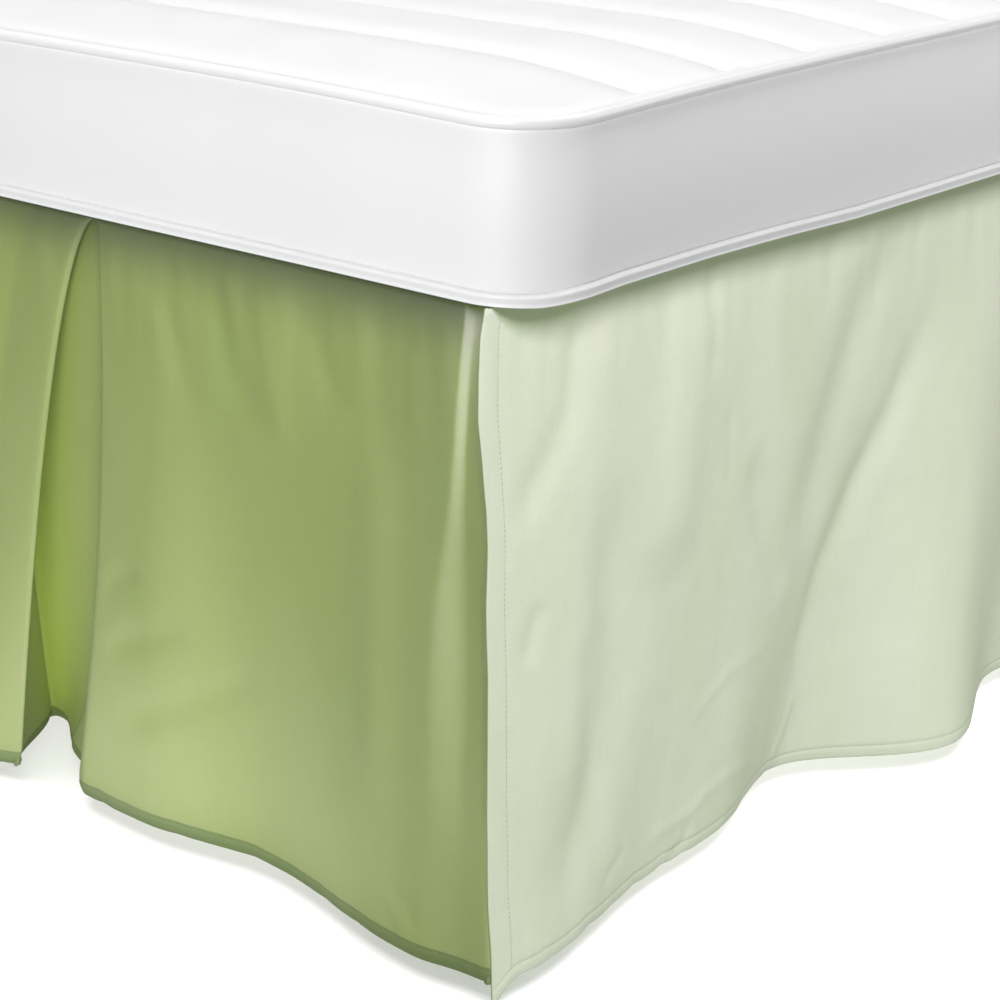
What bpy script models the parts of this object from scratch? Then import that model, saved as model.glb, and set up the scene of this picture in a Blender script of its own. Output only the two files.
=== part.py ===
"""Bed skirt for a small bed, hanging from its deck between a plain bed base and the mattress.

Units are metres, +Z is up and the floor is at Z = 0. The foot end of the bed faces -Y.
Each drop of the skirt is one strip of cloth. Its shape is a plan curve that changes from the
seam under the deck to the hem near the floor, given by a short table of named sections.
"""
import math
from collections import namedtuple

import bmesh
import bpy

# Mattress
MATTRESS_WIDTH = 0.700
MATTRESS_LENGTH = 1.400
MATTRESS_CORNER_RADIUS = 0.050
WALL_HEIGHT_TO_TOP_WELT = 0.097
TOP_WELT_RADIUS = 0.0034
BOTTOM_WELT_RADIUS = 0.0042
WALL_INSET_AT_WELT = 0.0035
WALL_INSET_AT_MIDDLE = 0.0012
TOP_RIM_ABOVE_WELT_CENTRE = 0.0022
CROWN = 0.010
CROWN_RISE_DISTANCE = 0.120
CHANNEL_FIRST = 0.103
CHANNEL_COUNT = 16
CHANNEL_DEPTH = 0.0045
CHANNEL_FADE = 0.020
CORNER_STEPS = 5
PANEL_COLUMNS = 10

# Skirt
HEM_HEIGHT = 0.012
DROP_LENGTH = 0.400
CLOTH_THICKNESS = 0.0015
SIDE_INSET = 0.035
FOOT_INSET = 0.0035
HEAD_INSET = 0.020
PLEAT_FOLD = 0.050
PLEAT_LAYER_PITCH = 0.0040
PLEAT_TIP_LENGTH = 0.0025
PLEAT_PARTING = 0.0032
SWING_POWER = 1.4
TIP_DROP = 0.008
TIP_LENGTH = 0.020
ROW_DEPTHS = (0.0, 0.07, 0.16, 0.27, 0.39, 0.52, 0.65, 0.78, 0.90, 1.0)

# Bed base
BASE_SIDE_INSET = 0.048
BASE_FOOT_INSET = 0.0165
BASE_HEAD_INSET = 0.012
BASE_CORNER_RADIUS = 0.030
BASE_THICKNESS = 0.045
LEG_SIZE = 0.050
LEG_INSET = 0.050
LEG_EDGE_BEVEL = 0.003

# Gap left between pieces that touch
SEAT_GAP = 0.0003
SEAM_GAP = 0.0004

# A section of a drop: where the plan curve passes at the seam and at the hem. "along" runs from
# the mattress corner, "out" is measured outwards from the drop's own plane, "slide" shapes how the
# section moves along with depth, "spans" is the number of mesh columns up to the next section.
Section = namedtuple("Section", "name top_along top_out hem_along hem_out slide spans")

# The foot drop, from its end behind the right side drop to its end behind the left one.
FOOT_RIGHT = (
    Section("turned end", 0.0395, -0.088, 0.0430, -0.088, 1.0, 1),
    Section("turned part", 0.0395, -0.055, 0.0420, -0.056, 1.0, 1),
    Section("turned start", 0.0400, -0.030, 0.0385, -0.034, 1.0, 1),
    Section("recess", 0.0410, -0.014, 0.0400, 0.002, 1.0, 2),
    Section("recess edge", 0.0420, -0.006, 0.0530, 0.009, 1.0, 2),
    Section("corner edge", 0.0505, 0.000, 0.0880, 0.013, 0.6, 1),
    Section("corner crest", 0.0700, 0.000, 0.1080, 0.014, 0.6, 6),
    Section("panel valley", 0.2350, 0.000, 0.2400, -0.011, 1.0, 5),
    Section("panel crest", 0.3000, 0.000, 0.3350, 0.003, 1.2, 3),
)
FOOT_LEFT = (
    Section("far crest", 0.4400, 0.000, 0.5050, 0.012, 1.0, 4),
    Section("far valley", 0.5600, 0.000, 0.5850, -0.009, 1.0, 3),
    Section("far edge", 0.6450, 0.000, 0.6350, 0.010, 1.0, 1),
    Section("far recess edge", 0.6560, -0.006, 0.6500, 0.004, 1.0, 1),
    Section("far recess", 0.6590, -0.014, 0.6580, -0.010, 1.0, 1),
    Section("far turned start", 0.6600, -0.030, 0.6580, -0.036, 1.0, 1),
    Section("far turned part", 0.6605, -0.055, 0.6560, -0.075, 1.0, 1),
    Section("far turned end", 0.6605, -0.088, 0.6540, -0.125, 1.0, 1),
)

# The right side drop, from its free edge at the foot corner to the head end.
RIGHT_NEAR = (
    Section("free edge", 0.0000, 0.000, 0.0030, 0.008, 1.0, 3),
    Section("corner bulge", 0.1200, 0.000, 0.0450, 0.011, 0.6, 5),
    Section("first shoulder", 0.2600, 0.000, 0.1700, -0.009, 0.6, 3),
    Section("second shoulder", 0.3500, 0.000, 0.2350, -0.011, 0.6, 5),
    Section("deep valley", 0.4700, 0.000, 0.3380, -0.038, 0.6, 6),
    Section("wide crest", 0.5700, 0.000, 0.4580, 0.034, 0.6, 5),
    Section("soft valley", 0.6300, 0.000, 0.5800, -0.010, 0.8, 4),
)
RIGHT_FAR = (
    Section("far valley", 0.8800, 0.000, 0.8500, -0.024, 0.8, 3),
    Section("far crest", 0.9900, 0.000, 0.9700, 0.020, 0.8, 3),
    Section("head valley", 1.1100, 0.000, 1.1000, -0.022, 0.8, 3),
    Section("head crest", 1.2300, 0.000, 1.2350, 0.014, 1.0, 3),
    Section("head end", 1.3800, 0.000, 1.3760, -0.004, 1.0, 1),
)

# The left side drop, in the same order.
LEFT_NEAR = (
    Section("free edge", 0.0000, 0.000, 0.0050, 0.006, 1.0, 2),
    Section("corner bulge", 0.0900, 0.000, 0.0700, 0.014, 0.8, 3),
    Section("corner valley", 0.2000, 0.000, 0.1800, -0.016, 0.7, 3),
    Section("near crest", 0.3100, 0.000, 0.2950, 0.022, 0.7, 3),
    Section("near valley", 0.4200, 0.000, 0.4150, -0.026, 0.8, 3),
    Section("middle crest", 0.5400, 0.000, 0.5300, 0.018, 0.8, 3),
    Section("soft valley", 0.6200, 0.000, 0.6050, -0.006, 0.8, 3),
)
LEFT_FAR = (
    Section("far valley", 0.8300, 0.000, 0.8450, -0.020, 0.8, 3),
    Section("far crest", 0.9600, 0.000, 0.9900, 0.026, 0.7, 3),
    Section("head valley", 1.1000, 0.000, 1.1200, -0.018, 0.8, 3),
    Section("head crest", 1.2400, 0.000, 1.2500, 0.010, 1.0, 3),
    Section("head end", 1.3800, 0.000, 1.3800, -0.003, 1.0, 1),
)

# A box pleat: its middle at the seam, where its two fold edges stand at the hem and how early each
# slides there, how far the near edge curls in, and where the inner layer's far end stands at the hem.
Pleat = namedtuple("Pleat", "middle near_hem near_slide far_hem far_slide curl hem_out back_hem back")
FOOT_PLEAT = Pleat(0.350, 0.416, 1.8, 0.462, 2.1, 0.018, 0.001, 0.506, 0.068)
RIGHT_PLEAT = Pleat(0.700, 0.676, 1.6, 0.726, 1.6, 0.008, 0.010, 0.752, 0.034)
LEFT_PLEAT = Pleat(0.700, 0.682, 1.6, 0.724, 1.6, 0.008, 0.008, 0.750, 0.030)

# Heights that follow from the sizes above
DECK_TOP = HEM_HEIGHT + DROP_LENGTH
DECK_BOTTOM = DECK_TOP - CLOTH_THICKNESS
SEAM_HEIGHT = DECK_BOTTOM - SEAM_GAP
BASE_TOP = DECK_BOTTOM - SEAT_GAP
BASE_BOTTOM = BASE_TOP - BASE_THICKNESS
LEG_TOP = BASE_BOTTOM - SEAT_GAP
MATTRESS_BOTTOM = DECK_TOP + SEAT_GAP
BOTTOM_WELT_HEIGHT = MATTRESS_BOTTOM + BOTTOM_WELT_RADIUS
TOP_WELT_HEIGHT = DECK_TOP + WALL_HEIGHT_TO_TOP_WELT + TOP_WELT_RADIUS
TOP_RIM_HEIGHT = TOP_WELT_HEIGHT + TOP_RIM_ABOVE_WELT_CENTRE

# Each welt sits in a chamfer of the mattress, at 45 degrees and a seat gap away. A seat is how
# far that chamfer lies from the welt's centre, sideways and up or down alike.
TOP_SEAT = (TOP_WELT_RADIUS + SEAT_GAP) / math.sqrt(2)
LOW_SEAT = (BOTTOM_WELT_RADIUS + SEAT_GAP) / math.sqrt(2)
RIM_INSET = TOP_WELT_RADIUS + 2 * TOP_SEAT + TOP_RIM_ABOVE_WELT_CENTRE
LOW_CHAMFER_INSET = BOTTOM_WELT_RADIUS + LOW_SEAT
LOW_CHAMFER_HEIGHT = BOTTOM_WELT_HEIGHT + LOW_SEAT

# The cloth of the foot drop reaches past the mattress, so the mattress sits a little back from
# the middle: this keeps the origin under the middle of the whole box.
FOOT_REACH = max(row.hem_out for row in FOOT_RIGHT) - FOOT_INSET
FOOT_FACE_Y = (FOOT_REACH - MATTRESS_LENGTH) / 2
HEAD_FACE_Y = FOOT_FACE_Y + MATTRESS_LENGTH
MATTRESS_MIDDLE_Y = (FOOT_FACE_Y + HEAD_FACE_Y) / 2
SIDE_FACE_X = MATTRESS_WIDTH / 2

CLOTH_GREEN = (0.42, 0.52, 0.22, 1.0)
TICKING_WHITE = (0.86, 0.86, 0.87, 1.0)
WELT_WHITE = (0.90, 0.90, 0.91, 1.0)
PALE_PINE = (0.62, 0.47, 0.31, 1.0)


def clear_scene():
    """Remove whatever objects the scene holds."""
    for item in list(bpy.data.objects):
        bpy.data.objects.remove(item, do_unlink=True)


def make_material(name, colour, roughness):
    """A plain Principled finish."""
    material = bpy.data.materials.new(name)
    material.use_nodes = True
    shader = material.node_tree.nodes["Principled BSDF"]
    shader.inputs["Base Color"].default_value = colour
    shader.inputs["Roughness"].default_value = roughness
    shader.inputs["Metallic"].default_value = 0.0
    return material


def add_object(name, data, material, collection):
    """Put a mesh or a curve in the collection as one named object with one finish."""
    item = bpy.data.objects.new(name, data)
    data.materials.append(material)
    collection.objects.link(item)
    return item


def box_pleat(pleat):
    """Sections of a box pleat, closed at the seam and parted at the hem.

    The near fold edge turns back under the near panel, the inner layer runs across behind both
    panels, and the far fold edge turns forward again into the far panel.
    """
    near = pleat.middle - PLEAT_PARTING / 2
    far = pleat.middle + PLEAT_PARTING / 2
    near_end = near - PLEAT_FOLD
    far_end = far + PLEAT_FOLD
    second = -PLEAT_LAYER_PITCH
    third = -2 * PLEAT_LAYER_PITCH
    tip = PLEAT_TIP_LENGTH
    half = PLEAT_LAYER_PITCH / 2
    curled = pleat.hem_out - pleat.curl
    turn_along = (pleat.near_hem + pleat.back_hem) / 2
    turn_out = curled - (pleat.back - pleat.curl) / 2
    back_out = pleat.hem_out - pleat.back
    near_slide = pleat.near_slide
    far_slide = pleat.far_slide
    return (
        Section("near fold front", near - tip, 0.0,
                pleat.near_hem - tip - pleat.curl, pleat.hem_out, near_slide, 1),
        Section("near fold edge", near, -half, pleat.near_hem, curled + half, near_slide, 1),
        Section("near fold back", near - tip, second,
                pleat.near_hem + tip, curled - half, near_slide, 2),
        Section("near return front", near_end + tip, second,
                turn_along - tip, turn_out + half, near_slide, 1),
        Section("near return edge", near_end, second - half, turn_along, turn_out, near_slide, 1),
        Section("near return back", near_end + tip, third,
                turn_along + tip, turn_out - half, near_slide, 3),
        Section("far return back", far_end - tip, third,
                pleat.back_hem - tip, back_out, far_slide, 1),
        Section("far return edge", far_end, third + half,
                pleat.back_hem, back_out + half, far_slide, 1),
        Section("far return front", far_end - tip, second,
                pleat.back_hem - tip, back_out + 2 * half, far_slide, 2),
        Section("far fold back", far + tip, second,
                pleat.far_hem + tip, pleat.hem_out - 2 * half, far_slide, 1),
        Section("far fold edge", far, -half, pleat.far_hem, pleat.hem_out - half, far_slide, 1),
        Section("far fold front", far + tip, 0.0, pleat.far_hem + tip, pleat.hem_out, far_slide, 2),
    )


def section_place(section, depth):
    """Where a section's point is at a depth between 0, the seam, and 1, the hem."""
    along = section.top_along + (section.hem_along - section.top_along) * depth ** section.slide
    out = section.top_out + (section.hem_out - section.top_out) * depth ** SWING_POWER
    return along, out


def plan_curve(sections, depth):
    """The cloth's plan curve at one depth: it eases from each section's place to the next."""
    places = [section_place(section, depth) for section in sections]
    curve = []
    for section, (along, out), (next_along, next_out) in zip(sections, places, places[1:]):
        for step in range(section.spans):
            share = step / section.spans
            eased = share * share * (3 - 2 * share)
            curve.append((along + (next_along - along) * share, out + (next_out - out) * eased))
    curve.append(places[-1])
    return curve


def hem_height(along, free_edge):
    """Height of the hem: the corner at a free edge hangs a little lower."""
    if not free_edge:
        return HEM_HEIGHT
    return HEM_HEIGHT - TIP_DROP * max(0.0, 1.0 - along / TIP_LENGTH) ** 2


def hanging_drop(name, sections, to_world, free_edge, material, collection):
    """A strip of cloth hanging from the seam: a grid laid on its plan curves, then thickened."""
    curves = [plan_curve(sections, depth) for depth in ROW_DEPTHS]
    columns = len(curves[0]) - 1
    rows = len(ROW_DEPTHS) - 1
    sheet = bmesh.new()
    bmesh.ops.create_grid(sheet, x_segments=columns, y_segments=rows, size=1.0)
    for vert in sheet.verts:
        column = round((vert.co.x + 1) / 2 * columns)
        row = round((vert.co.y + 1) / 2 * rows)
        along, out = curves[row][column]
        hem = hem_height(along, free_edge)
        height = SEAM_HEIGHT + (hem - SEAM_HEIGHT) * ROW_DEPTHS[row]
        vert.co = to_world(along, out, height)
    mesh = bpy.data.meshes.new(name)
    sheet.to_mesh(mesh)
    sheet.free()
    mesh.shade_smooth()
    drop = add_object(name, mesh, material, collection)
    solidify = drop.modifiers.new("cloth thickness", "SOLIDIFY")
    solidify.thickness = CLOTH_THICKNESS
    solidify.offset = 0.0
    solidify.use_even_offset = True
    return drop


def foot_to_world(along, out, height):
    """The foot drop's plane: along runs from the right corner towards the left."""
    plane = FOOT_INSET + CLOTH_THICKNESS / 2
    return SIDE_FACE_X - along, FOOT_FACE_Y + plane - out, height


def right_to_world(along, out, height):
    """The right side drop's plane: along runs from the foot corner to the head."""
    plane = SIDE_INSET + CLOTH_THICKNESS / 2
    return SIDE_FACE_X - plane + out, FOOT_FACE_Y + along, height


def left_to_world(along, out, height):
    """The left side drop's plane, the right one's mirror."""
    right_x, y, z = right_to_world(along, out, height)
    return -right_x, y, z


def make_skirt(cloth, collection):
    """The three drops and the deck they hang from."""
    foot = FOOT_RIGHT + box_pleat(FOOT_PLEAT) + FOOT_LEFT
    right = RIGHT_NEAR + box_pleat(RIGHT_PLEAT) + RIGHT_FAR
    left = LEFT_NEAR + box_pleat(LEFT_PLEAT) + LEFT_FAR
    hanging_drop("foot_drop", foot, foot_to_world, False, cloth, collection)
    hanging_drop("side_drop_right", right, right_to_world, True, cloth, collection)
    hanging_drop("side_drop_left", left, left_to_world, True, cloth, collection)
    deck_head = HEAD_FACE_Y - HEAD_INSET
    deck_foot = FOOT_FACE_Y + FOOT_INSET
    flat_board("deck", SIDE_FACE_X - SIDE_INSET, deck_foot, deck_head, 0.004,
               DECK_BOTTOM, DECK_TOP, cloth, collection)


def rounded_corners(half_width, foot_y, head_y, radius, steps):
    """Points of a rectangle with round corners, anticlockwise from the foot end's right corner."""
    centres = (
        (half_width - radius, foot_y + radius, -90),
        (half_width - radius, head_y - radius, 0),
        (radius - half_width, head_y - radius, 90),
        (radius - half_width, foot_y + radius, 180),
    )
    points = []
    for centre_x, centre_y, start in centres:
        for step in range(steps + 1):
            angle = math.radians(start + 90 * step / steps)
            points.append((centre_x + radius * math.cos(angle), centre_y + radius * math.sin(angle)))
    return points


def outline_spline(curve, points, height):
    """A closed run of straight spans through the points."""
    spline = curve.splines.new("POLY")
    spline.points.add(len(points) - 1)
    for point, (x, y) in zip(spline.points, points):
        point.co = (x, y, height, 1.0)
    spline.use_cyclic_u = True


def flat_board(name, half_width, foot_y, head_y, radius, bottom, top, material, collection):
    """A flat board or sheet with round corners, between two heights."""
    curve = bpy.data.curves.new(name, "CURVE")
    curve.dimensions = "2D"
    curve.fill_mode = "BOTH"
    curve.extrude = (top - bottom) / 2
    outline_spline(curve, rounded_corners(half_width, foot_y, head_y, radius, CORNER_STEPS), 0.0)
    board = add_object(name, curve, material, collection)
    board.location.z = (top + bottom) / 2
    return board


def make_base(wood, collection):
    """The plain slab that the deck lies on, and its four legs."""
    half_width = SIDE_FACE_X - BASE_SIDE_INSET
    foot_y = FOOT_FACE_Y + BASE_FOOT_INSET
    head_y = HEAD_FACE_Y - BASE_HEAD_INSET
    flat_board("base_frame", half_width, foot_y, head_y, BASE_CORNER_RADIUS,
               BASE_BOTTOM, BASE_TOP, wood, collection)
    leg_x = half_width - LEG_INSET - LEG_SIZE / 2
    for end, leg_y in (("foot", foot_y + LEG_INSET + LEG_SIZE / 2),
                       ("head", head_y - LEG_INSET - LEG_SIZE / 2)):
        for side, sign in (("right", 1), ("left", -1)):
            make_leg(f"leg_{end}_{side}", sign * leg_x, leg_y, wood, collection)


def make_leg(name, x, y, wood, collection):
    """A square post from the floor to the slab."""
    block = bmesh.new()
    bmesh.ops.create_cube(block, size=1.0)
    bmesh.ops.scale(block, vec=(LEG_SIZE, LEG_SIZE, LEG_TOP), verts=block.verts)
    mesh = bpy.data.meshes.new(name)
    block.to_mesh(mesh)
    block.free()
    leg = add_object(name, mesh, wood, collection)
    leg.location = (x, y, LEG_TOP / 2)
    bevel = leg.modifiers.new("eased edges", "BEVEL")
    bevel.width = LEG_EDGE_BEVEL
    bevel.segments = 1


def channel_places():
    """Where the mattress top is sewn down, as distances along the bed from its middle."""
    pitch = (MATTRESS_LENGTH - 2 * CHANNEL_FIRST) / (CHANNEL_COUNT - 1)
    first = CHANNEL_FIRST - MATTRESS_LENGTH / 2
    return [first + pitch * index for index in range(CHANNEL_COUNT)]


def panel_rows():
    """Places along the bed of the rows of points across the mattress top, foot to head."""
    reach = MATTRESS_LENGTH / 2 - MATTRESS_CORNER_RADIUS
    radius = MATTRESS_CORNER_RADIUS - RIM_INSET
    corner = [reach + radius * math.sin(math.radians(90 * step / CORNER_STEPS))
              for step in range(CORNER_STEPS + 1)]
    channels = channel_places()
    half_pitch = (channels[1] - channels[0]) / 2
    crests = [place - half_pitch for place in channels] + [channels[-1] + half_pitch]
    return sorted(corner + channels + crests + [-place for place in corner])


def panel_half_width(place):
    """Half the top panel's width at a place along the bed, less in the round corners."""
    radius = MATTRESS_CORNER_RADIUS - RIM_INSET
    past_straight = max(abs(place) - (MATTRESS_LENGTH / 2 - MATTRESS_CORNER_RADIUS), 0.0)
    straight_half = SIDE_FACE_X - MATTRESS_CORNER_RADIUS
    return straight_half + math.sqrt(max(radius ** 2 - past_straight ** 2, 0.0))


def outline_normal(x, y):
    """The outward direction of the mattress outline at a point on it."""
    reach_x = SIDE_FACE_X - MATTRESS_CORNER_RADIUS
    reach_y = MATTRESS_LENGTH / 2 - MATTRESS_CORNER_RADIUS
    dx = x - max(-reach_x, min(reach_x, x))
    dy = y - max(-reach_y, min(reach_y, y))
    length = math.hypot(dx, dy)
    return dx / length, dy / length


def crown_height(edge_distance, place):
    """Height of the filled top above its rim: a low crown with a dip at every channel."""
    rise = min(edge_distance / CROWN_RISE_DISTANCE, 1.0)
    crown = CROWN * math.sin(rise * math.pi / 2)
    channels = channel_places()
    pitch = channels[1] - channels[0]
    nearest = min(abs(place - channel) for channel in channels)
    dip = CHANNEL_DEPTH * max(0.0, 1.0 - nearest / (pitch / 2)) ** 1.5
    return crown - dip * min(edge_distance / CHANNEL_FADE, 1.0)


def wall_rings():
    """The wall from the top rim down to the underside, as rings of inset and height."""
    wall_top = TOP_WELT_HEIGHT - TOP_SEAT - (TOP_WELT_RADIUS + TOP_SEAT - WALL_INSET_AT_WELT)
    wall_low = LOW_CHAMFER_HEIGHT + (LOW_CHAMFER_INSET - WALL_INSET_AT_WELT)
    rings = []
    for share in (0.0, 0.22, 0.5, 0.78, 1.0):
        bulge = math.sin(share * math.pi)
        inset = WALL_INSET_AT_WELT + (WALL_INSET_AT_MIDDLE - WALL_INSET_AT_WELT) * bulge
        rings.append((inset, wall_top - (wall_top - wall_low) * share))
    rings.append((LOW_CHAMFER_INSET + LOW_CHAMFER_HEIGHT - MATTRESS_BOTTOM, MATTRESS_BOTTOM))
    return rings


def make_mattress(ticking, collection):
    """The filled mattress: a quilted top grid whose edge is drawn down ring by ring."""
    rows = panel_rows()
    body = bmesh.new()
    bmesh.ops.create_grid(body, x_segments=PANEL_COLUMNS, y_segments=len(rows) - 1, size=1.0)
    for vert in body.verts:
        place = rows[round((vert.co.y + 1) / 2 * (len(rows) - 1))]
        half_width = panel_half_width(place)
        x = vert.co.x * half_width
        rim_end = MATTRESS_LENGTH / 2 - RIM_INSET
        edge_distance = min(half_width - abs(x), rim_end - abs(place))
        vert.co = (x, place, TOP_RIM_HEIGHT + crown_height(edge_distance, place))
    rim = [edge for edge in body.edges if edge.is_boundary]
    inset = RIM_INSET
    for next_inset, height in wall_rings():
        rim = draw_down(body, rim, inset - next_inset, height)
        inset = next_inset
    bmesh.ops.contextual_create(body, geom=rim)
    bmesh.ops.recalc_face_normals(body, faces=body.faces)
    mesh = bpy.data.meshes.new("mattress")
    body.to_mesh(mesh)
    body.free()
    mesh.shade_smooth()
    mattress = add_object("mattress", mesh, ticking, collection)
    mattress.location.y = MATTRESS_MIDDLE_Y


def draw_down(body, rim, outward, height):
    """Extrude the open rim once, and set the new ring further out and at a height."""
    made = bmesh.ops.extrude_edge_only(body, edges=rim)["geom"]
    for vert in made:
        if isinstance(vert, bmesh.types.BMVert):
            normal_x, normal_y = outline_normal(vert.co.x, vert.co.y)
            vert.co = (vert.co.x + normal_x * outward, vert.co.y + normal_y * outward, height)
    return [item for item in made if isinstance(item, bmesh.types.BMEdge)]


def make_welt(name, radius, height, material, collection):
    """A round piped edge that follows the mattress outline."""
    curve = bpy.data.curves.new(name, "CURVE")
    curve.dimensions = "3D"
    curve.bevel_depth = radius
    curve.bevel_resolution = 2
    half_length = MATTRESS_LENGTH / 2 - radius
    points = rounded_corners(SIDE_FACE_X - radius, -half_length, half_length,
                             MATTRESS_CORNER_RADIUS - radius, CORNER_STEPS)
    outline_spline(curve, points, 0.0)
    welt = add_object(name, curve, material, collection)
    welt.location = (0.0, MATTRESS_MIDDLE_Y, height)


def main():
    """Build the bed skirt with its mattress and base."""
    clear_scene()
    collection = bpy.data.collections.new("bed_skirt")
    bpy.context.scene.collection.children.link(collection)
    make_skirt(make_material("skirt_cloth", CLOTH_GREEN, 0.85), collection)
    make_base(make_material("base_wood", PALE_PINE, 0.60), collection)
    make_mattress(make_material("mattress_ticking", TICKING_WHITE, 0.80), collection)
    welt = make_material("welt_cloth", WELT_WHITE, 0.70)
    make_welt("top_welt", TOP_WELT_RADIUS, TOP_WELT_HEIGHT, welt, collection)
    make_welt("bottom_welt", BOTTOM_WELT_RADIUS, BOTTOM_WELT_HEIGHT, welt, collection)


main()
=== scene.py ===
"""Finished look of the bed skirt, with the mattress and the bed base that it is fitted between.

Units are metres, +Z is up, the floor is at Z = 0 and the foot end of the bed faces -Y. Each drop of
the skirt is a thin sheet laid on plan curves that change from the seam to the hem. "along" runs from
the mattress corner, "out" is measured outwards from the drop's own plane, and "rise" is the height
above the hem.
"""

import logging
import math
from dataclasses import dataclass
from enum import Enum
from typing import Any, Optional, Sequence

import bpy
import numpy as np
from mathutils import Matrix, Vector, noise


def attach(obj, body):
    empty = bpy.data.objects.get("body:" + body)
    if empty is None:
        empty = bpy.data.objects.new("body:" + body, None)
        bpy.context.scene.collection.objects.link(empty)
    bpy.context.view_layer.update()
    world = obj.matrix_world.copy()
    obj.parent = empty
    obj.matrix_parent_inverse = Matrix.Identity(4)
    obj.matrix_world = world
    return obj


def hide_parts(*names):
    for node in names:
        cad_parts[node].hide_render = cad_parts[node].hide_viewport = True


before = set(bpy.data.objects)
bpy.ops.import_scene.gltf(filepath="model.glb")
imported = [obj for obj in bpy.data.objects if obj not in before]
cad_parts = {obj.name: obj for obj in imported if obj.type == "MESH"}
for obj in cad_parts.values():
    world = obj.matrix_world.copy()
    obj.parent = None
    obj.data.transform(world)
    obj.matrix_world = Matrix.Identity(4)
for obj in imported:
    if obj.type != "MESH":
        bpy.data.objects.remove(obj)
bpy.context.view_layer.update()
LOG = logging.getLogger("bed_skirt")

BODY = "root"
HALF_WIDTH = 0.350
HALF_LENGTH = 0.700
FOOT_FACE_Y = -0.69475
HEAD_FACE_Y = FOOT_FACE_Y + 2 * HALF_LENGTH
MIDDLE_Y = FOOT_FACE_Y + HALF_LENGTH
HEM_HEIGHT = 0.012
SEAM_HEIGHT = 0.4108
DROP_HEIGHT = SEAM_HEIGHT - HEM_HEIGHT
# Least distance that separately placed lines of points keep.
LEAST_GAP = 0.001

Pair = tuple[float, float]
Triple = tuple[float, float, float]
Colour = tuple[float, float, float, float]
Pieces = Sequence[bpy.types.Object]


def smoothstep(value: np.ndarray) -> np.ndarray:
    """Ease from 0 to 1 with level ends."""
    held = np.clip(value, 0.0, 1.0)
    return held * held * (3.0 - 2.0 * held)


def monotone_curve(knots: np.ndarray, values: np.ndarray, at: np.ndarray) -> np.ndarray:
    """Run a smooth curve through values without passing beyond any of them.

    Args:
        knots: Increasing places of the values, one for each row of values.
        values: Values at the knots, with any number of columns.
        at: Places to read the curve at.

    Returns:
        The curve's values, one row for each place.
    """
    step = np.diff(knots)[:, None]
    slope = np.diff(values, axis=0) / step
    before, after = slope[:-1], slope[1:]
    weight_before = 2 * step[1:] + step[:-1]
    weight_after = step[1:] + 2 * step[:-1]
    same_way = before * after > 0
    safe_before = np.where(same_way, before, 1.0)
    safe_after = np.where(same_way, after, 1.0)
    mean = (weight_before + weight_after) / (weight_before / safe_before + weight_after / safe_after)
    tangent = np.vstack([slope[:1], np.where(same_way, mean, 0.0), slope[-1:]])
    span = np.clip(np.searchsorted(knots, at, side="right") - 1, 0, len(knots) - 2)
    width = np.diff(knots)[span][:, None]
    share = (at - knots[span])[:, None] / width
    square, cube = share ** 2, share ** 3
    return ((2 * cube - 3 * square + 1) * values[span]
            + (cube - 2 * square + share) * width * tangent[span]
            + (3 * square - 2 * cube) * values[span + 1]
            + (cube - square) * width * tangent[span + 1])


@dataclass(frozen=True)
class Section:
    """Where a drop's plan curve passes at the seam and at the hem, and at any heights between."""

    name: str
    top_along: float
    top_out: float
    hem_along: float
    hem_out: float
    slide: float = 1.0
    between: tuple[Triple, ...] = ()

    def along(self, depth: np.ndarray) -> np.ndarray:
        """Distance from the corner at depths between 0, the seam, and 1, the hem."""
        if self.between:
            return self.through(depth, 1, self.top_along, self.hem_along)
        return self.top_along + (self.hem_along - self.top_along) * depth ** self.slide

    def out(self, depth: np.ndarray) -> np.ndarray:
        """Distance outwards from the drop's plane at the same depths."""
        swing = 1.4
        if self.between:
            return self.through(depth, 2, self.top_out, self.hem_out)
        return self.top_out + (self.hem_out - self.top_out) * depth ** swing

    def through(self, depth: np.ndarray, column: int, top: float, hem: float) -> np.ndarray:
        """Read a smooth curve through the heights between; each gives depth, along and out."""
        depths = np.array([0.0, *(row[0] for row in self.between), 1.0])
        values = np.array([top, *(row[column] for row in self.between), hem])
        return monotone_curve(depths, values[:, None], depth)[:, 0]


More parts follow.
